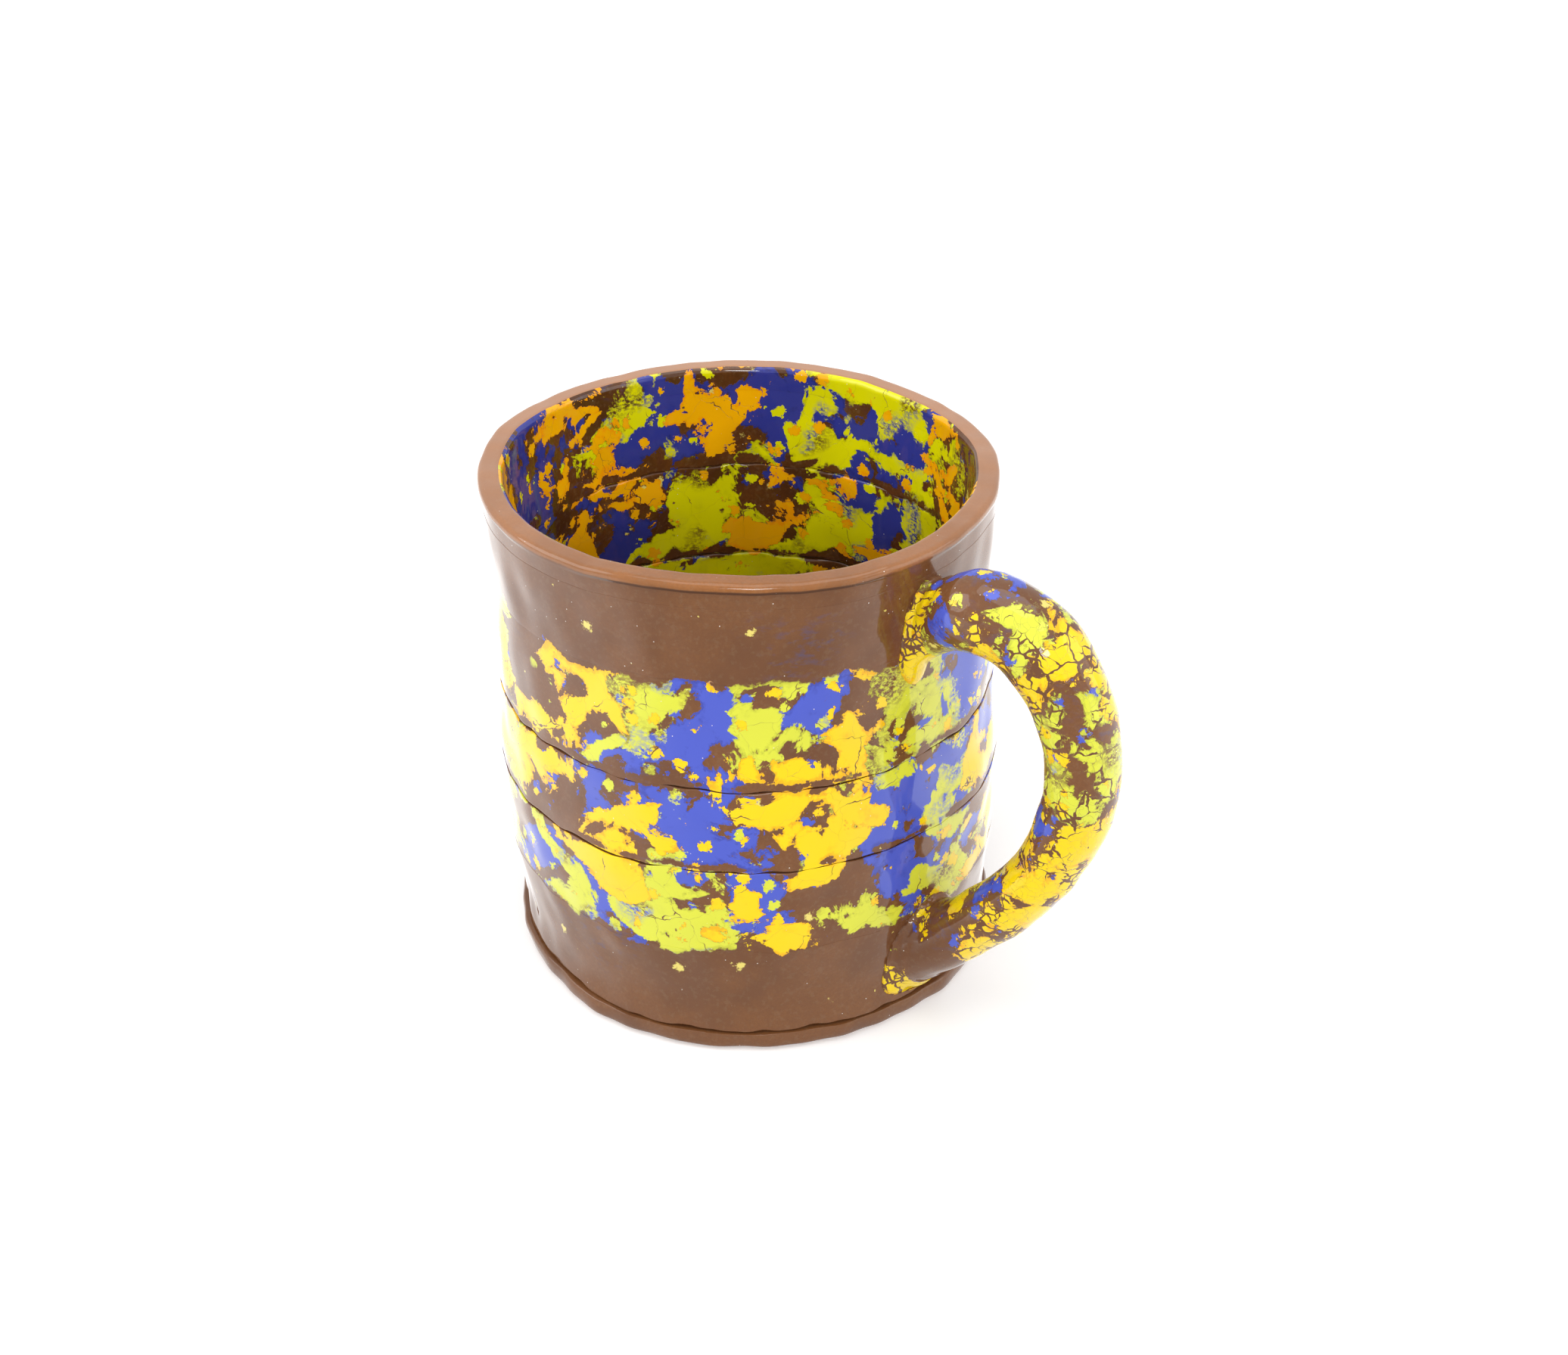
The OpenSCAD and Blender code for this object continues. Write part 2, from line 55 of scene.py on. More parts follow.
# the camera stands where the photo was taken
camera = {
    "azimuth": 42.2,  # degrees round the mug
    "distance": 296.8,  # mm from the mug's axis
    "height": 239.0,  # mm above the table
    "aside": -1.0,  # mm to the right
    "turn": 1.4956,  # degrees to the right of the axis
    "tilt": 32.385,  # degrees down
    "focalPixels": 2500,
    "imageWidth": 2072,  # pixels
    "sensor": 36,  # mm
    "nearest": 10,  # mm, nothing closer is shown
}
frontAngle = 312.2  # degrees round the mug, the side that faces the camera


# the camera's right and the way back to it, level with the table
def cameraSides():
    around = math.radians(camera["azimuth"])
    right = Vector((math.cos(around), math.sin(around), 0))
    back = Vector((math.sin(around), -math.cos(around), 0))
    return right, back


def addObject(name, data):
    made = bpy.data.objects.new(name, data)
    bpy.context.scene.collection.objects.link(made)
    return made


def makeCamera():
    right, back = cameraSides()
    data = bpy.data.cameras.new("photoCamera")
    data.sensor_width = camera["sensor"]
    data.sensor_fit = "HORIZONTAL"
    data.lens = camera["sensor"] * camera["focalPixels"] / camera["imageWidth"]
    data.clip_start = camera["nearest"] * mm
    body = addObject("photoCamera", data)
    place = back * camera["distance"] + right * camera["aside"] + Vector((0, 0, camera["height"]))
    body.location = place * mm
    body.rotation_euler = (
        math.radians(90 - camera["tilt"]), 0, math.radians(camera["azimuth"] - camera["turn"]))
    bpy.context.scene.camera = body


# how far the hand-built mug departs from a true round
handBuilt = {
    "leanTo": 222.2,  # degrees round the mug to which the mouth leans
    "lean": 2.0,  # mm from the table up to the lip
    "leanAbout": 0.5,  # share of the height that stays put
    "stillRadius": 30,  # mm from the axis, within which the waves fade out
    "flatBelow": 5,  # mm, nothing lifts below this
    "liftFrom": 24,  # mm, above this the lifts are whole
    # waves: how many round the mug, mm, phase and, for some, twist with each mm of height
    "swells": [(2, 0.32, 0.6, 0.01), (3, 0.24, -1.1, 0.03), (5, 0.14, 2.0, -0.05)],
    "lifts": [(1, 0.2, 2.4), (2, 0.22, 0.7), (4, 0.16, -0.8), (7, 0.06, 1.9), (11, 0.03, 0.3)],
    "wobbles": [(13, 0.13, 0.4, 0.05), (19, 0.11, 1.9, -0.08),
                (31, 0.09, 0.8, 0.11), (47, 0.06, 2.5, -0.06)],
    # height in mm, and how far the wall is raised there
    "sags": [(5, 0), (23, -0.8), (42, -1.8), (59, -2.6), (78, -1.5), (90, 0.3), (95, 0.5)],
    "dents": 36,  # number of small dents' waves
    "dentDepth": 0.016,  # mm, of the shortest
    "dentSize": (7, 24),  # mm, shortest and longest
    "dentsUpTo": (47, 53),  # mm from the axis, where the dents fade out
    "smoothLip": (80, 92, 0.35),  # mm up, where dents grow weaker, and how weak
    "seed": 11,
}


def waves(angle, table, shift=0.0, z=0.0):
    return sum(depth * np.sin(count * angle + phase + shift + sum(twist) * z)
               for count, depth, phase, *twist in table)


# size between a shortest and a longest
def someSize(random, sizes):
    shortest, longest = sizes
    return shortest * (longest / shortest) ** random.random()


def dentWaves(angle, z):
    random = np.random.default_rng(handBuilt["seed"])
    girth = 2 * math.pi * handBuilt["dentsUpTo"][0]
    out = np.zeros(len(z))
    for _ in range(handBuilt["dents"]):
        size = someSize(random, handBuilt["dentSize"])
        heading = random.random() * math.pi
        count = round(girth / size * math.cos(heading))
        climb = 2 * math.pi / size * math.sin(heading)
        depth = handBuilt["dentDepth"] * size / handBuilt["dentSize"][0]
        out += depth * np.sin(count * angle + climb * z + random.random() * 2 * math.pi)
    return out


def handMade(points):
    x, y, z = (np.asarray(points, float) / mm).T
    angle = np.arctan2(y, x)
    radius = np.hypot(x, y)
    whole = np.clip(radius / handBuilt["stillRadius"], 0, 1)
    flat, full = handBuilt["flatBelow"], handBuilt["liftFrom"]
    rise = np.clip((z - flat) / (full - flat), 0, 1)
    inside, outside = handBuilt["dentsUpTo"]
    onWall = np.clip((outside - radius) / (outside - inside), 0, 1)
    low, high, weak = handBuilt["smoothLip"]
    calm = np.interp(z, [low, high], [1, weak])

    out = waves(angle, handBuilt["swells"], z=z) + onWall * calm * dentWaves(angle, z)
    lift = waves(angle, handBuilt["lifts"]) + onWall * calm * waves(angle, handBuilt["wobbles"], z=z)
    lift = lift * rise + onWall * np.interp(z, *np.array(handBuilt["sags"]).T)
    shift = handBuilt["lean"] * (z * mm / cadHigh.z - handBuilt["leanAbout"])
    lean = math.radians(handBuilt["leanTo"])
    moved = np.stack([
        x + out * whole * np.cos(angle) + shift * math.cos(lean),
        y + out * whole * np.sin(angle) + shift * math.sin(lean),
        z + lift * whole], axis=1)
    return moved * mm


sections = {
    "decimals": 2,  # of a mm, to which corners are read
    "sameCorner": 0.04,  # mm, corners nearer than this are one
    "straight": 0.01,  # bend below which a corner is left out
}


# corners of a node's round section, radius and height in mm, from straight below outward
def sectionOf(node, low=-math.inf, high=math.inf):
    points = np.array([v.co for v in nodes[node].data.vertices]) / mm
    points = points[(points[:, 2] >= low) & (points[:, 2] <= high)]
    flat = np.stack([np.hypot(points[:, 0], points[:, 1]), points[:, 2]], axis=1)
    flat = np.unique(np.round(flat, sections["decimals"]), axis=0)
    kept = []
    for p in flat:
        if all(np.hypot(*(p - q)) > sections["sameCorner"] for q in kept):
            kept.append(p)
    flat = np.array(kept)
    middle = (flat.min(0) + flat.max(0)) / 2
    turn = np.degrees(np.arctan2(flat[:, 1] - middle[1], flat[:, 0] - middle[0]))
    turn = np.where(turn < -90, turn + 360, turn)
    flat = flat[np.argsort(turn)]
    corners = []
    for k in range(len(flat)):
        a, b, c = flat[k - 1], flat[k], flat[(k + 1) % len(flat)]
        bend = (b - a)[0] * (c - b)[1] - (b - a)[1] * (c - b)[0]
        if abs(bend) > sections["straight"] * np.hypot(*(b - a)) * np.hypot(*(c - b)):
            corners.append(b)
    return np.array(corners)


# where line ab crosses line cd
def crossing(a, b, c, d):
    u, v = b - a, d - c
    share = ((c - a)[0] * v[1] - (c - a)[1] * v[0]) / (u[0] * v[1] - u[1] * v[0])
    return a + share * u


# shares along an edge, closer together at its ends if it is eased
def spaced(count, eased):
    u = np.arange(count) / count
    return 0.5 - 0.5 * np.cos(math.pi * u) if eased else u


def columnAngles(count):
    return np.arange(count) * 2 * math.pi / count


# points and faces round the axis: places has one row of section points for each column
def roundMesh(places):
    columns, rows = places.shape[:2]
    angle = columnAngles(columns)
    points = np.stack([
        places[:, :, 0] * np.cos(angle)[:, None],
        places[:, :, 0] * np.sin(angle)[:, None],
        places[:, :, 1]], axis=2).reshape(-1, 3) * mm
    c, r = np.meshgrid(np.arange(columns), np.arange(rows), indexing="ij")
    nextC, nextR = (c + 1) % columns, (r + 1) % rows
    faces = np.stack([c * rows + r, nextC * rows + r, nextC * rows + nextR, c * rows + nextR], axis=2)
    return points, faces.reshape(-1, 4)


sharpEdge = 50  # degrees, edges bent more than this stay sharp


def makePiece(name, points, faces, materials, faceMaterials=None):
    mesh = bpy.data.meshes.new(name)
    mesh.from_pydata(handMade(points).tolist(), [], [list(map(int, f)) for f in faces])
    for material in materials:
        mesh.materials.append(material)
    if faceMaterials is not None:
        mesh.polygons.foreach_set("material_index", np.asarray(faceMaterials, np.int32))
    mesh.shade_smooth()
    mesh.set_sharp_from_angle(angle=math.radians(sharpEdge))
    mesh.update()
    piece = addObject(name, mesh)
    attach(piece, "root")
    return piece


def turned(name, places, materials, materialRows=None):
    points, faces = roundMesh(places)
    return makePiece(name, points, faces, materials, materialRows and np.tile(materialRows, len(places)))


def paintValues(piece, name, values):
    layer = piece.data.attributes.new(name, "FLOAT", "POINT")
    layer.data.foreach_set("value", np.asarray(values, np.float32).ravel())


# distance from the flakes' outlines in mm, positive inside a flake
flakeColours = ("gold", "lime", "blue")
flakeReach = {
    "over": 2.5, "under": 3.0,  # mm off a face and into it, where flakes are sought
    "far": -12.0,  # mm, distance where no flake is near
    "edgeOn": 0.5,  # faces that look outward less than this are sides
    "fold": 1.5,  # mm in from the span's ends, where heights are folded back
}
wholeBand = 30.0  # mm, band distance where mottling covers a whole face
flakeBends = {"waves": 14, "depth": 0.85, "size": (6, 26), "seed": 3}  # outlines wander by these, in mm


# smooth wandering of places on a face, its own for each colour
def wander(colour, along, up):
    random = np.random.default_rng(flakeBends["seed"] + flakeColours.index(colour))
    moves = []
    for _ in range(2):
        move = np.zeros(np.shape(along))
        for _ in range(flakeBends["waves"]):
            size = someSize(random, flakeBends["size"])
            heading = random.random() * 2 * math.pi
            phase = random.random() * 2 * math.pi
            depth = flakeBends["depth"] * size / flakeBends["size"][0] / 2
            run = along * math.cos(heading) + up * math.sin(heading)
            move = move + depth * np.sin(run * 2 * math.pi / size + phase)
        moves.append(move)
    return moves


def gathered(names):
    points, faces = [], []
    for mesh in [nodes[name].data for name in names]:
        faces += [[len(points) + k for k in p.vertices] for p in mesh.polygons]
        points += [v.co.copy() for v in mesh.vertices]
    return points, faces


# search trees of whole flakes and of their sides alone
def flakeTrees(names, outward):
    points, faces = gathered(names)
    polygons = [p for name in names for p in nodes[name].data.polygons]
    sides = [face for face, p in zip(faces, polygons)
             if abs(p.normal.dot(outward(p.center))) < flakeReach["edgeOn"]]
    return BVHTree.FromPolygons(points, faces), BVHTree.FromPolygons(points, sides)


def flakeDistance(trees, places, outs):
    whole, sides = trees
    over = flakeReach["over"] * mm
    reach = over + flakeReach["under"] * mm
    found = np.full(len(places), flakeReach["far"])
    for k, (place, out) in enumerate(zip(places, outs)):
        place, out = Vector(place), Vector(out)
        near = sides.find_nearest(place, -flakeReach["far"] * mm)
        if near[0] is None:
            continue
        hit = whole.ray_cast(place + out * over, -out, reach)
        found[k] = near[3] / mm if hit[0] is not None else -near[3] / mm
    return found


def radial(place):
    return Vector((place[0], place[1], 0)).normalized()


# heights between which flakes lie, and heights beyond folded back
def flakeSpan(names):
    heights = [v.co.z / mm for name in names for v in nodes[name].data.vertices]
    return min(heights) + flakeReach["fold"], max(heights) - flakeReach["fold"]


def folded(height, span):
    low, high = span
    height = low + np.abs(height - low)
    return high - np.abs(high - height)


def paintDistances(piece, columns, band):
    for name, values in zip(flakeColours + ("band",), columns + [band]):
        paintValues(piece, name + "Edge", values)


# short names for building shaders
def addNode(tree, kind, inputs=None, **settings):
    made = tree.nodes.new("ShaderNode" + kind)
    for name, value in settings.items():
        setattr(made, name, value)
    for key, value in (inputs or {}).items():
        if isinstance(value, bpy.types.NodeSocket):
            tree.links.new(value, made.inputs[key])
        else:
            made.inputs[key].default_value = value
    return made


def calc(tree, operation, a, b=0.0):
    return addNode(tree, "Math", {0: a, 1: b}, operation=operation).outputs[0]


def times(tree, a, b):
    return calc(tree, "MULTIPLY", a, b)


def larger(tree, a, b):
    return calc(tree, "MAXIMUM", a, b)


def ramp(tree, value, low, high, start=0.0, end=1.0):
    return addNode(tree, "MapRange", {
        "Value": value, "From Min": low, "From Max": high, "To Min": start, "To Max": end,
    }, interpolation_type="SMOOTHSTEP").outputs["Result"]


def blend(tree, factor, a, b):
    return addNode(tree, "Mix", {0: factor, 6: a, 7: b}, data_type="RGBA").outputs[2]


def painted(tree, name):
    return addNode(tree, "Attribute", attribute_name=name).outputs["Fac"]


asideAim = (1, 0.7, -0.4)  # the way in which patterns are moved apart


# place on the mug in mm, moved aside so that no two patterns match
def placeOn(tree, aside=0.0, squeeze=(1, 1, 1)):
    place = addNode(tree, "TexCoord").outputs["Object"]
    return addNode(tree, "VectorMath", {
        0: place, 1: tuple(s / mm for s in squeeze), 2: tuple(aside * a for a in asideAim),
    }, operation="MULTIPLY_ADD").outputs[0]


# noise from 0 to 1, with its size in mm
def cloud(tree, start=0.0, aside=0.0, squeeze=(1, 1, 1), size=1.0, detail=2.0, rough=0.5, warp=0.0):
    return addNode(tree, "TexNoise", {
        "Vector": placeOn(tree, start + aside, squeeze), "Scale": 1 / size,
        "Detail": detail, "Roughness": rough, "Distortion": warp,
    }).outputs["Fac"]


# patches where noise rises through a span, which may say how strong they get
def patches(tree, span, start=0.0, **shape):
    return ramp(tree, cloud(tree, start, **shape), *span)


# value moved to both sides by noise
def torn(tree, value, noise, depth):
    swing = calc(tree, "SUBTRACT", noise, 0.5)
    return calc(tree, "ADD", value, times(tree, swing, depth))


def cells(tree, place, size, feature="F1"):
    return addNode(tree, "TexVoronoi", {"Vector": place, "Scale": 1 / size}, feature=feature).outputs


# place shaken by noise, so that lines drawn with it run unevenly
def shaken(tree, place, size, by):
    shake = addNode(tree, "TexNoise", {"Vector": place, "Scale": 1 / size, "Detail": 2.0})
    centred = addNode(tree, "VectorMath", {0: shake.outputs["Color"], 1: (0.5, 0.5, 0.5)},
                      operation="SUBTRACT").outputs[0]
    return addNode(tree, "VectorMath", {0: centred, 1: (by, by, by), 2: place},
                   operation="MULTIPLY_ADD").outputs[0]


spotTear = {"detail": 3.0, "rough": 0.7}
spotCore = 0.6  # share of a spot's size that has its whole colour


# small spots scattered at random, one in some of the cells
def spots(tree, cell, size, share, ragged=0.0, start=0.0, aside=0.0):
    found = cells(tree, placeOn(tree, start + aside), cell)
    distance = times(tree, found["Distance"], cell)
    if ragged:
        distance = torn(tree, distance, cloud(tree, start, aside, size=size, **spotTear), ragged)
    spot = ramp(tree, distance, size, spotCore * size)
    pick = addNode(tree, "SeparateColor", {0: found["Color"]}).outputs[0]
    return times(tree, spot, calc(tree, "LESS_THAN", pick, share))


# colours are linear light
clay = {
    "brown": (0.200, 0.080, 0.028, 1),
    "brownDark": (0.156, 0.062, 0.024, 1),
    # painted shade: the lining's brown, darker for the dim light inside the mug
    "brownInShade": (0.144, 0.050, 0.012, 1),
    "brownDeep": (0.085, 0.030, 0.009, 1),
    "rim": (0.308, 0.110, 0.024, 1),
    "rimDark": (0.222, 0.078, 0.017, 1),
    # painted sheen: the colour the lip is painted away from the front, where it reflects more light
    "rimSheen": (0.52, 0.275, 0.160, 1),
    "smudge": (0.070, 0.075, 0.170, 1),
    "sand": (0.26, 0.17, 0.095, 1),
    "straw": (0.80, 0.66, 0.16, 1),
    # painted highlight: the white glint in the glaze's pinholes
    "pinholeGlint": (0.86, 0.82, 0.74, 1),
    "slip": (0.060, 0.024, 0.010, 1),
    "bare": (0.34, 0.155, 0.075, 1),
}
clayGrain = {
    "tone": {"size": 14, "detail": 4.0, "rough": 0.55, "span": (0.38, 0.62)},
    "grain": {"size": 0.55, "detail": 3.0, "rough": 0.65, "span": (0.35, 0.65, 0.0, 0.45)},
    "sand": {"aside": 8, "size": 1.1, "detail": 3.0, "rough": 0.65, "span": (0.5, 0.68, 0.0, 0.16)},
    "smudge": {"aside": 31, "size": 26, "span": (0.55, 0.72)},
    "wisp": {"aside": 57, "squeeze": (1, 1, 2.2), "size": 3.2, "detail": 4.0, "rough": 0.65,
             "span": (0.5, 0.7)},
    "smudgeShare": 0.55,
    "straw": {"aside": 31, "cell": 9.0, "size": 1.1, "share": 0.9, "ragged": 3.4},
    "strawDust": {"aside": 83, "cell": 5.0, "size": 0.24, "share": 0.5, "ragged": 0.9},
    # pinholes in the glaze, painted as tiny white glints
    "pinholeGlint": {"aside": 12, "cell": 2.0, "size": 0.11, "share": 0.75},
}


def clayColour(tree, light, dark, specks):
    colour = blend(tree, patches(tree, **clayGrain["tone"]), clay[dark], clay[light])
    colour = blend(tree, patches(tree, **clayGrain["grain"]), colour, clay[dark])
    colour = blend(tree, patches(tree, **clayGrain["sand"]), colour, clay["sand"])
    if specks:
        wisp = patches(tree, **clayGrain["wisp"])
        smudge = times(tree, patches(tree, **clayGrain["smudge"]), wisp)
        smudge = times(tree, smudge, clayGrain["smudgeShare"])
        colour = blend(tree, smudge, colour, clay["smudge"])
        colour = blend(tree, spots(tree, **clayGrain["straw"]), colour, clay["straw"])
        colour = blend(tree, spots(tree, **clayGrain["strawDust"]), colour, clay["straw"])
    return colour


# pinholes in the glaze, each painted as a tiny white glint
def pinholeGlints(tree, colour):
    return blend(tree, spots(tree, **clayGrain["pinholeGlint"]), colour, clay["pinholeGlint"])


# how the flakes look on the outside, on the lining and on the handle; lengths in mm
wallFlakes = {
    # painted light: the outside's gold is yellower than the lining's, for the bright light that washes it out
    "gold": (0.92, 0.66, 0.004, 1), "goldDeep": (0.90, 0.46, 0.005, 1),
    "lime": (0.71, 0.73, 0.054, 1), "limeDeep": (0.57, 0.59, 0.044, 1),
    "blue": (0.078, 0.112, 0.57, 1), "blueDeep": (0.056, 0.076, 0.42, 1),
    "ground": ("brown", "brownDark"),
    "grow": {"gold": 1.0, "lime": 0.9, "blue": 1.9},
    "lobeSize": 9.0, "lobeDepth": 24.0, "nibbleSize": 1.5, "nibbleDepth": 3.6,
    "raggedDepth": 9.0, "bitSize": 4.3,
    "crackSize": 8.0, "crackWidth": 0.08, "crackFrom": 0.54, "crackTo": 0.68,
    "crackRim": 0.0,  # how much wider cracks get near a flake's edge
    "crackFine": 0.0,  # size of the net of fine cracks, 0 for none
    "aside": 5.0,
}
# painted shade: the lining's colours are a darker, deeper copy of the wall's, for the dim light inside
liningFlakesInShade = dict(
    wallFlakes,
    gold=(0.96, 0.47, 0.002, 1), goldDeep=(0.96, 0.36, 0.002, 1),
    lime=(0.78, 0.765, 0.002, 1), limeDeep=(0.60, 0.60, 0.002, 1),
    blue=(0.034, 0.043, 0.30, 1), blueDeep=(0.024, 0.031, 0.21, 1),
    ground=("brownInShade", "brownDeep"),
    grow={"gold": -1.0, "lime": 2.0, "blue": 2.6},
    raggedDepth=11.0, bitSize=5.0, aside=140.0)
handleFlakes = dict(
    wallFlakes,
    grow={"gold": 1.0, "lime": -0.5, "blue": -2.2},
    lobeSize=6.5, lobeDepth=19.0, nibbleSize=1.2, nibbleDepth=2.8, bitSize=4.0,
    crackSize=4.4, crackWidth=0.14, crackFrom=0.48, crackTo=0.60, crackRim=0.26, crackFine=2.0,
    aside=260.0)

# tearing that is alike on every mottled face; lengths in mm
tearing = {
    "edgeApart": 11,  # moves each colour's edge into its own noise
    "lobe": {"detail": 6.0, "rough": 0.64, "warp": 0.6},
    "nibble": {"detail": 3.0, "rough": 0.6},
    "border": {"aside": 70, "size": 7.0, "detail": 5.0, "rough": 0.65},
    "bits": {"size": 1.5, "share": 0.55, "ragged": 3.6},
    "bitsAside": 40, "bitsApart": 9,
    "bitsNear": (-4.5, -1.5),  # from the nearest flake, where loose bits begin and are whole
    "bitEdge": 1.5,
    "edge": {"gold": (-0.10, 0.10), "lime": (-0.35, 0.35), "blue": (-0.12, 0.12)},
    "streak": {"aside": 77, "squeeze": (1, 1, 1.5), "size": 0.9, "detail": 5.0, "rough": 0.75},
    "dryPatch": {"aside": 90, "size": 11, "span": (0.53, 0.66)},
    "dryStreak": (0.40, 0.58),
    "fringe": (-0.7, -0.15), "fringeStreak": (0.42, 0.6, 0.0, 0.8),
    "otherHeight": 0.6, "crackDepth": 1.2,
}
flakeTones = {
    "gold": {"aside": 25, "size": 5.0}, "lime": {"aside": 23, "size": 4.5},
    "blue": {"aside": 21, "size": 2.5},
    "noise": {"detail": 4.0, "rough": 0.6}, "depth": 5.0,
    "edge": (0.0, 1.8, 0.0, 1.4),
    "span": (2.2, 3.6),
}
cracks = {
    "aside": 60, "shakeSize": 2.4, "shakeBy": 2.2,
    "zone": {"aside": 66, "size": 7.0, "detail": 3.0},
    "rimReach": 3.2, "rimZone": (0.40, 0.52),
    "fine": {"aside": 97, "size": 9.0, "span": (0.54, 0.64, 0.0, 0.2)},
    "soft": 0.03,
    "pits": {"aside": 104, "cell": 4.0, "size": 0.32, "share": 0.55, "ragged": 0.7},
}


# distance inside a flake's edge, torn in lobes and nibbles
def tornEdge(tree, colour, look, aside):
    start = look["aside"] + aside
    edge = calc(tree, "ADD", painted(tree, colour + "Edge"), look["grow"][colour])
    lobe = cloud(tree, start, size=look["lobeSize"], **tearing["lobe"])
    nibble = cloud(tree, start, size=look["nibbleSize"], **tearing["nibble"])
    return torn(tree, torn(tree, edge, lobe, look["lobeDepth"]), nibble, look["nibbleDepth"])


# torn edges of the three colours with loose bits between, within the mottled band
def flakeEdges(tree, look):
    near = painted(tree, "goldEdge")
    for colour in ("lime", "blue"):
        near = larger(tree, near, painted(tree, colour + "Edge"))
    band = ramp(tree, near, *tearing["bitsNear"])
    ragged = cloud(tree, look["aside"], **tearing["border"])
    border = torn(tree, painted(tree, "bandEdge"), ragged, look["raggedDepth"])
    edges = {}
    for k, colour in enumerate(flakeColours):
        edge = tornEdge(tree, colour, look, k * tearing["edgeApart"])
        aside = tearing["bitsAside"] + k * tearing["bitsApart"]
        bit = spots(tree, look["bitSize"], start=look["aside"], aside=aside, **tearing["bits"])
        bit = times(tree, times(tree, bit, band), 2 * tearing["bitEdge"])
        edge = larger(tree, edge, calc(tree, "SUBTRACT", bit, tearing["bitEdge"]))
        edges[colour] = calc(tree, "MINIMUM", edge, border)
    return edges


# a flake is deeper in colour towards its thin edge
def flakeTone(tree, look, colour, edges):
    tone = cloud(tree, look["aside"], **flakeTones[colour], **flakeTones["noise"])
    tone = times(tree, tone, flakeTones["depth"])
    tone = calc(tree, "ADD", tone, ramp(tree, edges[colour], *flakeTones["edge"]))
    return blend(tree, ramp(tree, tone, *flakeTones["span"]), look[colour + "Deep"], look[colour])


def crackNet(tree, place, size, wide):
    line = times(tree, cells(tree, place, size, "DISTANCE_TO_EDGE")["Distance"], size)
    return ramp(tree, calc(tree, "SUBTRACT", line, wide), cracks["soft"], -cracks["soft"])


# fine cracks and pits that show the brown clay
def crackMask(tree, look, edges):
    start = look["aside"]
    place = shaken(tree, placeOn(tree, start + cracks["aside"]), cracks["shakeSize"], cracks["shakeBy"])
    zone = cloud(tree, start, **cracks["zone"])
    wide = ramp(tree, zone, look["crackFrom"], look["crackTo"], 0.0, look["crackWidth"])
    if look["crackRim"]:
        inner = larger(tree, edges["gold"], edges["lime"])
        rims = ramp(tree, inner, cracks["rimReach"], 0.0, 0.0, look["crackRim"])
        rims = times(tree, rims, ramp(tree, zone, *cracks["rimZone"]))
        wide = calc(tree, "ADD", wide, rims)
    crack = crackNet(tree, place, look["crackSize"], wide)
    if look["crackFine"]:
        few = patches(tree, start=start, **cracks["fine"])
        crack = larger(tree, crack, crackNet(tree, place, look["crackFine"], few))
    return larger(tree, crack, spots(tree, start=start, **cracks["pits"]))


# brown clay with torn flakes of three colours rolled in; gives colour and height
def mottled(tree, ground, look):
    edges = flakeEdges(tree, look)
    gold, lime, blue = [ramp(tree, edges[c], *tearing["edge"][c]) for c in flakeColours]

    # dry smears, where a colour was dragged along the strip
    streak = cloud(tree, look["aside"], **tearing["streak"])
    dryPatch = patches(tree, start=look["aside"], **tearing["dryPatch"])
    dry = times(tree, dryPatch, ramp(tree, streak, *tearing["dryStreak"]))
    lime = times(tree, lime, calc(tree, "SUBTRACT", 1.0, dry))
    fringe = times(tree, ramp(tree, edges["gold"], *tearing["fringe"]),
                   ramp(tree, streak, *tearing["fringeStreak"]))

    colour = blend(tree, blue, ground, flakeTone(tree, look, "blue", edges))
    colour = blend(tree, lime, colour, flakeTone(tree, look, "lime", edges))
    colour = blend(tree, fringe, colour, ground)
    colour = blend(tree, gold, colour, flakeTone(tree, look, "gold", edges))
    crack = times(tree, crackMask(tree, look, edges), larger(tree, gold, lime))
    colour = blend(tree, crack, colour, clay["brownDark"])

    height = times(tree, larger(tree, lime, blue), tearing["otherHeight"])
    height = larger(tree, gold, height)
    height = calc(tree, "SUBTRACT", height, times(tree, crack, tearing["crackDepth"]))
    return colour, height


# clear glaze, and how the rim, the slip and the bare underside depart from it
glaze = {
    "roughness": (0.02, 0.05), "coat": 0.0, "coatRoughness": 0.05, "index": 1.45,
    "gloss": {"aside": 17, "size": 5.0, "detail": 3.0}, "glossSpan": (0.35, 0.65),
    "ripple": {"aside": 17, "size": 3.0, "detail": 3.0},
    "rippleDepth": 0.02, "reliefDepth": 0.04,  # mm
    "rimRoughness": (0.05, 0.13),
    "slipRoughness": (0.3, 0.5), "slipCoat": 0.1,
    "bareRoughness": (0.75, 0.9),
}


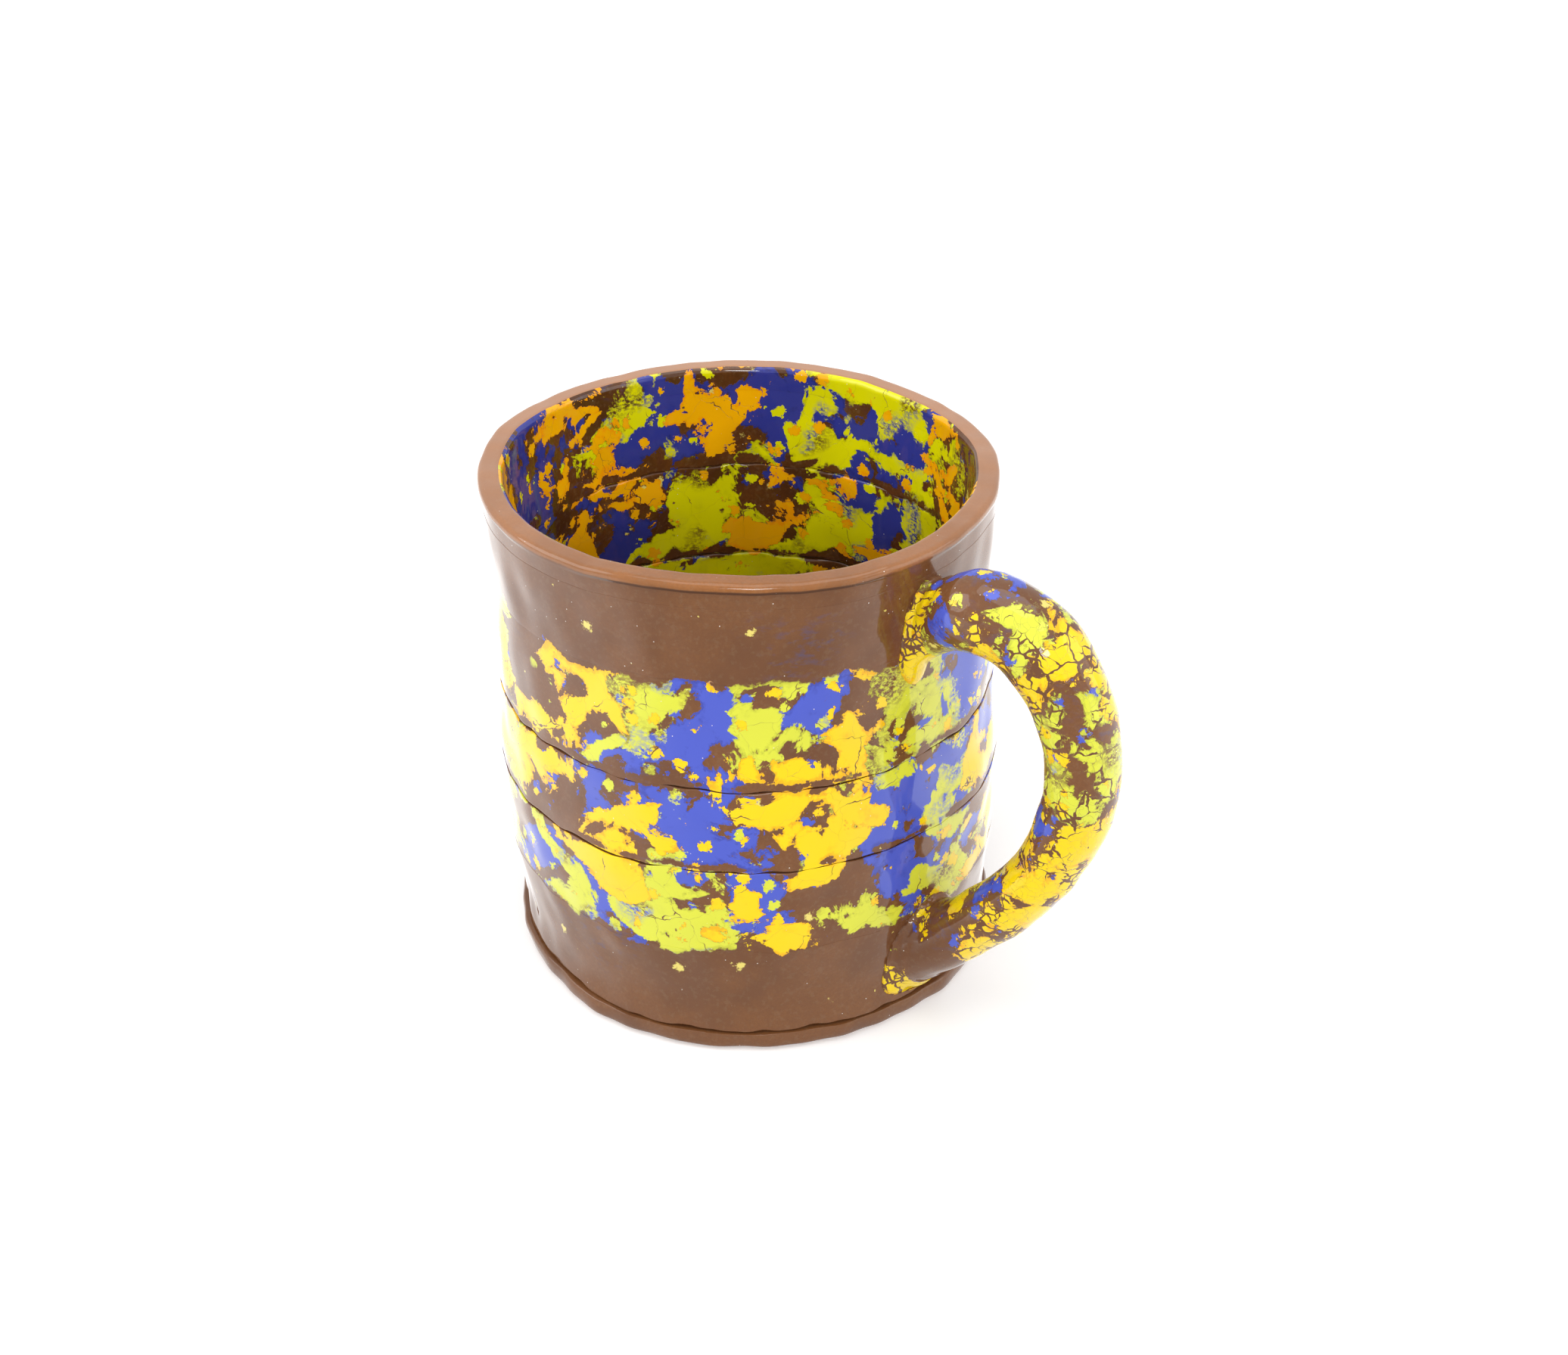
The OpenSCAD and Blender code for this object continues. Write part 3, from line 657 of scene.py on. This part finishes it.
# gloss, ripples and the flakes' slight relief over a colour
def finishGlaze(material, colour, height=None, roughness=glaze["roughness"], coat=glaze["coat"]):
    tree = material.node_tree
    gloss = patches(tree, glaze["glossSpan"] + roughness, **glaze["gloss"])
    bumps = {"Height": cloud(tree, **glaze["ripple"]), "Strength": 1.0, "Distance": glaze["rippleDepth"] * mm}
    normal = addNode(tree, "Bump", bumps).outputs["Normal"]
    if height is not None:
        bumps |= {"Height": height, "Distance": glaze["reliefDepth"] * mm, "Normal": normal}
        normal = addNode(tree, "Bump", bumps).outputs["Normal"]
    shader = addNode(tree, "BsdfPrincipled", {
        "Base Color": colour, "Roughness": gloss, "IOR": glaze["index"], "Normal": normal,
        "Coat Weight": coat, "Coat Roughness": glaze["coatRoughness"], "Coat IOR": glaze["index"],
        "Coat Normal": normal,
    })
    out = addNode(tree, "OutputMaterial", {"Surface": shader.outputs["BSDF"]})
    tree.nodes.active = out
    return material


def newMaterial(name):
    material = bpy.data.materials.new(name)
    material.use_nodes = True
    material.node_tree.nodes.clear()
    return material, material.node_tree


def mottledGlaze(name, look):
    material, tree = newMaterial(name)
    colour, height = mottled(tree, clayColour(tree, *look["ground"], True), look)
    return finishGlaze(material, pinholeGlints(tree, colour), height)


def brownGlaze(name, light, dark, **finish):
    material, tree = newMaterial(name)
    return finishGlaze(material, pinholeGlints(tree, clayColour(tree, light, dark, False)), **finish)


lip = {
    "uneven": {"aside": 44, "size": 3.0, "detail": 4.0, "rough": 0.6}, "unevenDepth": 0.9,
    # crease: where the painted shade in the crease under the lip begins and where it is whole
    "thin": (0.25, 0.75), "crease": (0.2, 0.7),
}


# brown that runs thin and lighter on top of the lip, with a painted sheen away from the front and a line of
# painted shade in the crease under the lip
def rimmedGlaze(name):
    material, tree = newMaterial(name)
    top = torn(tree, painted(tree, "lipTop"), cloud(tree, **lip["uneven"]), lip["unevenDepth"])
    thin = ramp(tree, top, *lip["thin"])
    colour = blend(tree, thin, clayColour(tree, "brown", "brownDark", False),
                   clayColour(tree, "rim", "rimDark", False))
    # painted reflection: the lip is paler towards its sides and back, for the light its top reflects there
    colour = blend(tree, times(tree, thin, painted(tree, "lipSheen")), colour, clay["rimSheen"])
    # painted shade: a dark line along the crease under the lip's outer edge
    crease = ramp(tree, painted(tree, "lipCreaseShade"), *lip["crease"])
    colour = blend(tree, crease, colour, clay["brownDeep"])
    return finishGlaze(material, pinholeGlints(tree, colour), roughness=glaze["rimRoughness"])


wallGlaze = mottledGlaze("wallGlaze", wallFlakes)
liningGlaze = mottledGlaze("liningGlaze", liningFlakesInShade)
handleGlaze = mottledGlaze("handleGlaze", handleFlakes)
plainGlaze = brownGlaze("plainGlaze", "brown", "brownDark")
rimGlaze = rimmedGlaze("rimGlaze")
slipGlaze = brownGlaze("slipGlaze", "slip", "slip", roughness=glaze["slipRoughness"], coat=glaze["slipCoat"])
bareClay = brownGlaze("bareClay", "bare", "rim", roughness=glaze["bareRoughness"])
print("glazes mixed")

# strips of the wall; a seam is open from 0, pressed shut, to 1, as cut
strips = {
    "names": ["foot_strip", "lower_strip", "middle_strip", "upper_strip", "collar_strip"],
    "columns": 360,
    "rows": (3, 24, 3, 4, 3, 20, 3, 4),  # along bevel, face, bevel, top, bevel, lining, bevel, bottom
    "easedOver": 4,  # rows, an edge with more has them closer at its ends
    "outerSeams": [0.5, 0.0, 0.29, 0.29, 0.0, 0.0],
    "innerSeams": [0.0, 0.4, 0.5, 0.5, 0.3, 0.0],
    "seamWaves": [(3, 0.4, 2.2), (5, 0.45, 0.4), (11, 0.4, 1.3),
                  (23, 0.35, 2.1), (37, 0.3, 0.2), (61, 0.2, 0.9)],
    "seamShift": 1.7,  # phase from one seam to the next
    "innerShift": 3,  # inner seams open as the outer ones so many seams higher
    "seamLimits": (0.05, 1.9),
    "halfSlip": 0.21,  # mm
    "shutEdge": 0.02,  # mm, edge left where a seam is pressed shut
    "spill": 0.5,  # mm, how far the mottling spills over its end seams
    "outerBrown": 0.52, "innerBrown": 0.9,  # mm, brown on each side of a seam
    "brownSlope": 1.4,
}
angles = columnAngles(strips["columns"])
slab = {
    "step": 0.8,  # mm
    "eye": 0.02,  # mm, radius of the closed middle
    "filled": 0.9,  # share of the upper edge's rounding that the foot fills at the front
    "flushRise": 1.5,  # how soon the slab gets flush towards the front
    "bareBelow": 0.4,  # mm up, below this the clay has no glaze
    "underRound": 0.65, "underUpTo": 1.8,  # mm in at the table, fading out up to a height
    "innerEdge": 40.0,  # mm from the axis, within which nothing is moved
    "waves": [(3, 0.14, 0.5), (8, 0.10, 1.1), (23, 0.07, 0.7), (41, 0.05, 2.0)],
    "spread": 1.3, "spreadOver": 9.0,  # mm, the foot's spread at the front, and over what height
}


# share from 0 behind the mug to 1 at the front
def frontShare(angle):
    return 0.5 + 0.5 * np.cos(angle - math.radians(frontAngle))


# how nearly the slab's edge is flush with the foot, from 0 to 1
flush = frontShare(angles) ** slab["flushRise"]
faceStart = np.cumsum((0,) + strips["rows"])
outerRows = range(faceStart[0], faceStart[3])
innerRows = range(faceStart[4], faceStart[7])


# how open a seam is at each column
def seamOpening(amount, seam):
    opening = 1 + waves(angles, strips["seamWaves"], strips["seamShift"] * seam)
    return amount * np.clip(opening, *strips["seamLimits"])


# a strip's section at each column, between its corners as cut and as pressed shut
def stripPlaces(k):
    cut = sectionOf(strips["names"][k])
    half = np.array([0, strips["halfSlip"]])
    small = strips["shutEdge"]
    shut = cut.copy()
    # corners at a seam: in its groove, on the face, across the wall, along the face; up or down; inward
    for recessed, face, across, along, side, inward in (
            (0, 1, 7, 2, -1, -1), (3, 2, 4, 1, 1, -1), (4, 5, 3, 6, 1, 1), (7, 6, 0, 5, -1, 1)):
        corner = crossing(cut[recessed], cut[across], cut[face], cut[along]) + side * half
        away = (cut[along] - cut[face]) / np.hypot(*(cut[along] - cut[face]))
        shut[face] = corner + small * away
        shut[recessed] = corner + np.array([inward * small, 0])
    opening = np.empty((strips["columns"], len(cut)))
    for corner, side, seam, shift in (
            (0, "outerSeams", k, 0), (2, "outerSeams", k + 1, 0),
            (4, "innerSeams", k + 1, strips["innerShift"]), (6, "innerSeams", k, strips["innerShift"])):
        opening[:, corner:corner + 2] = seamOpening(strips[side][seam], seam + shift)[:, None]
    corners = shut + opening[:, :, None] * (cut - shut)
    parts = []
    for e, count in enumerate(strips["rows"]):
        u = spaced(count, count > strips["easedOver"])[None, :, None]
        a, b = corners[:, e, None], corners[:, (e + 1) % len(cut), None]
        parts.append(a + u * (b - a))
    places = np.concatenate(parts, axis=1)
    if k == 0:
        above = places[:, outerRows, 1] - cut[0][1]
        low = np.clip(1 - above / slab["spreadOver"], 0, 1) ** 2
        places[:, outerRows, 0] += slab["spread"] * flush[:, None] * low
    return softened(places, 1)


def softened(points, axis):
    return (np.roll(points, 1, axis) + 2 * points + np.roll(points, -1, axis)) / 4


# outside, the mottling runs from one seam to another, with brown at those between
# inside, brown is at each seam
outerLow, outerHigh = sectionOf("lower_strip")[1][1], sectionOf("upper_strip")[2][1]
outerMiddles = [sectionOf(name)[1][1] for name in strips["names"][2:4]]
innerMiddles = [sectionOf(name)[6][1] for name in strips["names"][1:]]


# distance from the edges of the mottled parts
def bandDistance(height, outside):
    near = np.full(np.shape(height), wholeBand)
    for middle in outerMiddles if outside else innerMiddles:
        away = np.abs(height - middle) - strips["outerBrown" if outside else "innerBrown"]
        near = np.minimum(near, strips["brownSlope"] * away)
    if outside:
        near = np.minimum(near, np.minimum(height - outerLow, outerHigh - height) + strips["spill"])
    return near


# each row set has its rows, flakes, span of heights and 1 for outside or -1 for inside
def paintRound(piece, places, rowSets):
    columns, rows = places.shape[:2]
    values = {c: np.full((columns, rows), flakeReach["far"]) for c in flakeColours}
    band = np.full((columns, rows), wholeBand)
    for wanted, trees, span, sense in rowSets:
        wanted = list(wanted)
        radius, up = places[:, wanted, 0], places[:, wanted, 1]
        along = np.abs(angles[:, None] - math.pi) * radius  # mirrored, so that it joins up behind
        for colour in flakeColours:
            aside, lift = wander(colour, along, up)
            bearing = angles[:, None] + aside / radius
            aim = np.stack([np.cos(bearing), np.sin(bearing), 0 * bearing], axis=2)
            height = folded(up + lift, span)
            points = np.stack([radius * aim[:, :, 0], radius * aim[:, :, 1], height], axis=2) * mm
            found = flakeDistance(trees[colour], points.reshape(-1, 3), sense * aim.reshape(-1, 3))
            values[colour][:, wanted] = found.reshape(columns, len(wanted))
        band[:, wanted] = bandDistance(up, sense > 0)
    paintDistances(piece, [values[c] for c in flakeColours], band)


mottledStrips = ("lower", "middle", "upper")
wallNodes = {c: [f"{s}_{c}_flakes" for s in mottledStrips] for c in flakeColours}
wallTrees = {c: flakeTrees(wallNodes[c], radial) for c in flakeColours}
wallSpan = flakeSpan(sum(wallNodes.values(), []))
liningNodes = [f"lining_{c}_flakes" for c in flakeColours]
liningTrees = {c: flakeTrees([f"lining_{c}_flakes"], radial) for c in flakeColours}
liningSpan = flakeSpan(liningNodes)


def makeStrips():
    inner = [1 if r in innerRows else 0 for r in range(faceStart[-1])]
    for k, name in enumerate(strips["names"]):
        places = stripPlaces(k)
        piece = turned(name + "_glazed", places, [wallGlaze, liningGlaze], inner)
        paintRound(piece, places, [
            (outerRows, wallTrees, wallSpan, 1), (innerRows, liningTrees, liningSpan, -1)])
        own = name.split("_")[0]
        flakes = [f"{own}_{c}_flakes" for c in flakeColours] if own in mottledStrips else []
        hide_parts(name, *flakes, *liningNodes)


# points along a line, each stretch in so many parts
def divided(line, counts):
    points = []
    for a, b, count in zip(line[:-1], line[1:], counts):
        points += [a + (b - a) * k / count for k in range(count)]
    return np.array(points + [line[-1]])


# points along a closed section, no further apart than a step
def filled(section, step):
    line = np.vstack([section, section[:1]])
    counts = [max(1, math.ceil(np.hypot(*stretch) / step)) for stretch in np.diff(line, axis=0)]
    return divided(line, counts)[:-1]


# the same section at every column
def allRound(section):
    return np.repeat(section[None], strips["columns"], axis=0)


rim = {
    "step": 0.35,  # mm
    "outerRound": 0.95, "innerRound": 1.1,  # mm
    "lipDown": 1.35,  # mm from the top to the crease under the outer edge
    "crease": 0.55, "creaseOver": 0.3,  # mm in, and over what height
    "creaseMean": 0.5,  # how deep the crease is on the whole, from 0 to 1
    "creaseWaves": [(2, 0.4, 3.24), (5, 0.25, -0.54), (9, 0.2, 0.3)],
    # painted shade along the crease under the lip
    "creaseShadeReach": 0.3,  # mm, how far the dark of the crease reaches
    "edgeIn": 1.0,  # mm, how far the lining's mottling comes over the lip
    "lightFrom": 1.5, "lightOver": 0.8,  # mm below the top, where the glaze runs thin
    # painted sheen: the lip is painted paler away from the front, for the light it reflects there
    "paintedSheen": 0.72, "sheenRise": 0.55,  # how pale the lip gets away from the front, and how soon
}


def arcPoints(centre, radius, start, end, count=5):
    turns = np.radians(np.linspace(start, end, count))
    return np.stack([centre[0] + radius * np.cos(turns), centre[1] + radius * np.sin(turns)], axis=1)


# outline of the rim, smoothed down on the collar; the crease is as deep as asked for
def rimLine(crease):
    cut = sectionOf("rim_coil")
    inner, outer = cut[:, 0].min(), cut[:, 0].max()
    low, high = cut[:, 1].min(), cut[:, 1].max()
    below = low - strips["halfSlip"]
    collar = sectionOf("collar_strip")
    lipFoot = high - rim["lipDown"]
    return np.vstack([
        [collar[2][0], below],
        [outer - crease, lipFoot - rim["creaseOver"]],
        [outer, lipFoot],
        arcPoints((outer - rim["outerRound"], high - rim["outerRound"]), rim["outerRound"], 0, 90),
        arcPoints((inner + rim["innerRound"], high - rim["innerRound"]), rim["innerRound"], 90, 180),
        [collar[5][0], below]])


def makeRim():
    line = rimLine(0)
    counts = [max(1, round(np.hypot(*step) / rim["step"])) for step in np.diff(line, axis=0)]
    section, deeper = divided(line, counts), divided(rimLine(rim["crease"]), counts)
    depth = np.clip(rim["creaseMean"] + waves(angles, rim["creaseWaves"]), 0, 1)
    places = section + depth[:, None, None] * (deeper - section)
    inner = [1 if p[0] < section[:, 0].min() + rim["edgeIn"] else 0 for p in section]
    piece = turned("rim_coil_glazed", places, [rimGlaze, liningGlaze], inner)
    paintRound(piece, places, [(range(len(section)), liningTrees, liningSpan, -1)])

    lit = np.clip((section[:, 1] - section[:, 1].max() + rim["lightFrom"]) / rim["lightOver"], 0, 1)
    # painted shade in the crease, as deep as the crease is cut
    creaseShadeRows = np.hypot(*(section - line[1]).T) < rim["creaseShadeReach"]
    # painted sheen, growing away from the front
    paintedSheen = rim["paintedSheen"] * (1 - frontShare(angles)) ** rim["sheenRise"]
    paintValues(piece, "lipTop", np.outer(np.ones(len(angles)), lit))
    paintValues(piece, "lipCreaseShade", np.outer(depth, creaseShadeRows))
    paintValues(piece, "lipSheen", np.outer(paintedSheen, np.ones(len(section))))
    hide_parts("rim_coil")


def makeSlab():
    outline = sectionOf("base_slab")
    low, high = outline[:, 1].min(), outline[:, 1].max()
    outline = outline[np.argsort(outline[:, 1], kind="stable")]
    section = filled(np.vstack([outline, [slab["eye"], high], [slab["eye"], low]]), slab["step"])
    radius, up = section.T
    edge = radius.max()
    share = np.clip((radius - slab["innerEdge"]) / (edge - slab["innerEdge"]), 0, 1)
    rounded = (up > high / 2) & (radius > slab["innerEdge"])
    places = allRound(section)
    places[:, :, 0] += np.outer(slab["filled"] * flush, np.where(rounded, edge - radius, 0))
    places[:, :, 0] += np.outer(waves(angles, slab["waves"]), share)
    places[:, :, 0] -= slab["underRound"] * share * np.clip(1 - up / slab["underUpTo"], 0, 1) ** 2
    under = [1 if height < slab["bareBelow"] else 0 for height in up]
    piece = turned("base_slab_glazed", places, [plainGlaze, bareClay], under)
    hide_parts("base_slab")


cornerStep = 0.6  # mm


def makeCorner():
    section = softened(filled(sectionOf("corner_coil"), cornerStep), 0)
    piece = turned("corner_coil_glazed", allRound(section), [plainGlaze])
    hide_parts("corner_coil")


slipRings = {"step": 0.5, "apart": 4.0, "around": 0.1}  # mm


def makeSeams():
    heights = np.sort(np.array([v.co.z for v in nodes["slip_seams"].data.vertices]) / mm)
    breaks = np.where(np.diff(heights) > slipRings["apart"])[0]
    lows = heights[np.concatenate([[0], breaks + 1])] - slipRings["around"]
    highs = heights[np.concatenate([breaks, [len(heights) - 1]])] + slipRings["around"]
    points, faces = np.empty((0, 3)), np.empty((0, 4), int)
    for low, high in zip(lows, highs):
        section = filled(sectionOf("slip_seams", low, high), slipRings["step"])
        ringPoints, ringFaces = roundMesh(allRound(section))
        faces = np.vstack([faces, ringFaces + len(points)])
        points = np.vstack([points, ringPoints])
    piece = makePiece("slip_seams_fired", points, faces, [slipGlaze])
    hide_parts("slip_seams")


makeStrips()
print("strips rolled")
makeRim()
makeSlab()
makeCorner()
makeSeams()
print("rim, slab, corner and seams set")

# the handle coil and the clay that lutes it to the wall, as one skin
handle = {
    "nodes": ["handle_coil", "upper_join_coil", "lower_join_coil"],
    "voxel": 0.5,  # mm
    "smoothing": 6,
    "sink": 0.9,  # mm, how far the ends go into the wall
    "sinkWithin": 0.3,  # mm off the wall
    "lumps": 30, "lumpDepth": 0.012, "lumpSize": (5, 16), "seed": 5,
    # height, and how much fatter the coil is there, in mm
    "girth": [(14, 0), (28, -0.3), (42, -0.4), (56, 0.3), (66, 0.6), (80, 0.6), (90, 0.4)],
    # clay smeared on the wall: degrees round, height, half width, half height and thickness in mm
    "smears": [(-9.2, 78.5, 3.2, 6.0, 1.7), (-12.5, 9.0, 4.0, 4.2, 1.4)],
    "smearGold": (0.3, 3.0),  # mm, gold's distance at a smear's edge, and its rise to the middle
    "endFold": 8.0,  # mm off the wall, within which flakes are folded back over the ends
}
wallLine = np.array([sectionOf(name)[corner] for name in strips["names"] for corner in (1, 2)])


def wallRadius(height):
    return np.interp(height, wallLine[:, 1], wallLine[:, 0])


def offWall(points):
    return np.hypot(points[:, 0], points[:, 1]) / mm - wallRadius(points[:, 2] / mm)


# flat lump of clay that lies on the wall
def smear(around, height, wide, tall, thick, rows=12, columns=24):
    points = []
    for r in range(1, rows):
        down = math.pi * r / rows
        for c in range(columns):
            turn = 2 * math.pi * c / columns
            off = thick * math.sin(down) * math.cos(turn)
            aside = wide * math.sin(down) * math.sin(turn)
            up = height + tall * math.cos(down)
            radius = wallRadius(up) + off
            angle = around + aside / radius
            points.append(Vector((radius * math.cos(angle), radius * math.sin(angle), up)) * mm)
    for up in (height + tall, height - tall):
        radius = wallRadius(up)
        points.append(Vector((radius * math.cos(around), radius * math.sin(around), up)) * mm)
    faces = []
    last = (rows - 2) * columns
    for c in range(columns):
        d = (c + 1) % columns
        faces += [[r * columns + c, (r + 1) * columns + c, (r + 1) * columns + d, r * columns + d]
                  for r in range(rows - 2)]
        faces += [[len(points) - 2, c, d], [last + d, last + c, len(points) - 1]]
    return points, faces


# one skin round the nodes and the smears: its points, normals and faces
def pressed(names):
    points, faces = gathered(names)
    for around, height, wide, tall, thick in handle["smears"]:
        spread, more = smear(math.radians(around), height, wide, tall, thick)
        faces += [[len(points) + k for k in face] for face in more]
        points += spread
    mesh = bpy.data.meshes.new("pressedClay")
    mesh.from_pydata(points, [], faces)
    lump = addObject("pressedClay", mesh)
    remesh = lump.modifiers.new("skin", "REMESH")
    remesh.mode = "VOXEL"
    remesh.voxel_size = handle["voxel"] * mm
    smooth = lump.modifiers.new("smooth", "SMOOTH")
    smooth.iterations = handle["smoothing"]
    skin = bpy.data.meshes.new_from_object(lump.evaluated_get(bpy.context.evaluated_depsgraph_get()))
    found = np.array([v.co for v in skin.vertices])
    outs = np.array([v.normal for v in skin.vertices])
    corners = [list(p.vertices) for p in skin.polygons]
    bpy.data.objects.remove(lump)
    bpy.data.meshes.remove(mesh)
    bpy.data.meshes.remove(skin)
    return found, outs, corners


# distances from the handle's flakes, carried on over its ends, with gold on the smears
def handleDistances(points, outs, short):
    coilTree = BVHTree.FromPolygons(*gathered(["handle_coil"]))
    outward = points * [1, 1, 0] / np.hypot(points[:, 0], points[:, 1])[:, None]
    sampled = points + outward * (2 * np.maximum(short, 0))[:, None] * mm
    distances = []
    for colour in flakeColours:
        trees = flakeTrees([f"handle_{colour}_flakes"], lambda place: coilTree.find_nearest(place)[1])
        distances.append(flakeDistance(trees, sampled, outs))
    angle = np.degrees(np.arctan2(points[:, 1], points[:, 0]))
    edge, rise = handle["smearGold"]
    for around, height, wide, tall, thick in handle["smears"]:
        aside = np.radians(angle - around) * wallRadius(height) / wide
        gold = edge + rise * (1 - np.hypot(aside, (points[:, 2] / mm - height) / tall))
        onSmear = short > handle["endFold"] - 2 * thick
        distances[0] = np.where(onSmear, np.maximum(distances[0], gold), distances[0])
    return distances


# how far the coil's lumps and girth stand out, in mm
def handleSwell(points, short):
    random = np.random.default_rng(handle["seed"])
    swell = np.zeros(len(points))
    for _ in range(handle["lumps"]):
        size = someSize(random, handle["lumpSize"])
        heading = random.normal(size=3)
        heading /= np.linalg.norm(heading)
        depth = handle["lumpDepth"] * size / handle["lumpSize"][0]
        swell += depth * np.sin(points @ heading / mm * 2 * math.pi / size + random.random() * 2 * math.pi)
    girth = np.interp(points[:, 2] / mm, *np.array(handle["girth"]).T)
    return swell + girth * np.clip(1 - short / handle["endFold"], 0, 1)


def makeHandle():
    points, outs, faces = pressed(handle["nodes"])
    short = handle["endFold"] - offWall(points)
    distances = handleDistances(points, outs, short)
    points = points + outs * handleSwell(points, short)[:, None] * mm
    sink = np.where(offWall(points) < handle["sinkWithin"], handle["sink"], 0) * mm
    points[:, :2] *= (1 - sink / np.hypot(points[:, 0], points[:, 1]))[:, None]
    piece = makePiece("handle_glazed", points, faces, [handleGlaze])
    paintDistances(piece, distances, np.full(len(points), wholeBand))
    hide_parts(*handle["nodes"], *[f"handle_{c}_flakes" for c in flakeColours])


makeHandle()
print("handle luted on")

# white table and soft light from all round
studio = {
    "floorSize": 4.0,  # m
    "floorBelow": 0.02,  # mm under the mug
    "floorWhite": 0.82,
    "floorDim": 0.48,  # what the glaze sees of the floor in front of the mug
    "floorGlow": (0.03, 1.0),  # added for what the glaze sees, in front of the mug and elsewhere
    "glowFrom": -0.10, "glowTo": 0.10,  # m behind the mug's axis and aside together, where the glow rises
    "floorSeen": (0.30, 1.0),  # added for what the camera sees, by the mug and far off
    "farFrom": 0.5, "farTo": 1.6,  # m from the mug's axis
    "ambient": 0.54,
    "aim": (0, 0, 0.05),  # m, what the lamps point at
    "lamps": [  # name, place and size in m, power in W
        ("overhead", (0.12, -0.03, 1.2), 1.2, 6.5),
        ("front", (0.67, -0.74, 0.54), 0.3, 3.5),
        ("side", (-0.85, -0.85, 0.8), 1.1, 8),
        ("fill", (0.95, 0.45, 0.55), 0.9, 3),
    ],
}


def seenDirectly(tree):
    path = addNode(tree, "LightPath").outputs
    seen = larger(tree, path["Is Camera Ray"], path["Is Glossy Ray"])
    return larger(tree, seen, path["Is Transmission Ray"])


# white paper; its glow is seen and mirrored, but lights nothing
def whiteTable():
    material, tree = newMaterial("whiteTable")
    path = addNode(tree, "LightPath").outputs
    right, back = cameraSides()
    place = addNode(tree, "TexCoord").outputs["Object"]
    behind, aside = [
        addNode(tree, "VectorMath", {0: place, 1: way}, operation="DOT_PRODUCT").outputs["Value"]
        for way in (-back, right)]
    behind = calc(tree, "ADD", behind, calc(tree, "ABSOLUTE", aside))
    glow = ramp(tree, behind, studio["glowFrom"], studio["glowTo"], *studio["floorGlow"])
    inFront = ramp(tree, behind, studio["glowFrom"], studio["glowTo"], 1.0, 0.0)
    light, dim = [(tone, tone, tone, 1) for tone in (studio["floorWhite"], studio["floorDim"])]
    tone = blend(tree, times(tree, path["Is Glossy Ray"], inFront), light, dim)
    paper = addNode(tree, "BsdfDiffuse", {"Color": tone}).outputs[0]
    far = addNode(tree, "VectorMath", {0: place}, operation="LENGTH").outputs["Value"]
    seen = ramp(tree, far, studio["farFrom"], studio["farTo"], *studio["floorSeen"])
    strength = addNode(tree, "MapRange", {
        "Value": path["Is Camera Ray"], "To Min": glow, "To Max": seen}).outputs["Result"]
    strength = times(tree, seenDirectly(tree), strength)
    glow = addNode(tree, "Emission", {"Color": (1, 1, 1, 1), "Strength": strength}).outputs[0]
    both = addNode(tree, "AddShader", {0: paper, 1: glow}).outputs[0]
    addNode(tree, "OutputMaterial", {"Surface": both})
    return material


def makeTable():
    half = studio["floorSize"] / 2
    down = -studio["floorBelow"] * mm
    mesh = bpy.data.meshes.new("table")
    corners = [(-half, -half, down), (half, -half, down), (half, half, down), (-half, half, down)]
    mesh.from_pydata(corners, [], [(0, 1, 2, 3)])
    mesh.materials.append(whiteTable())
    table = addObject("table", mesh)


def lightRoom():
    world = bpy.data.worlds.new("whiteRoom")
    world.use_nodes = True
    tree = world.node_tree
    tree.nodes.clear()
    strength = ramp(tree, seenDirectly(tree), 0.0, 1.0, studio["ambient"], 1.0)
    room = addNode(tree, "Background", {"Color": (1, 1, 1, 1), "Strength": strength}).outputs[0]
    addNode(tree, "OutputWorld", {"Surface": room})
    bpy.context.scene.world = world
    for name, place, size, power in studio["lamps"]:
        data = bpy.data.lights.new(name, "AREA")
        data.shape = "DISK"
        data.size = size
        data.energy = power
        body = addObject(name, data)
        body.location = place
        ray = Vector(studio["aim"]) - Vector(place)
        body.rotation_euler = ray.to_track_quat("-Z", "Y").to_euler()
    bpy.context.scene.view_settings.view_transform = "Standard"


makeCamera()
makeTable()
lightRoom()
print("studio lit")
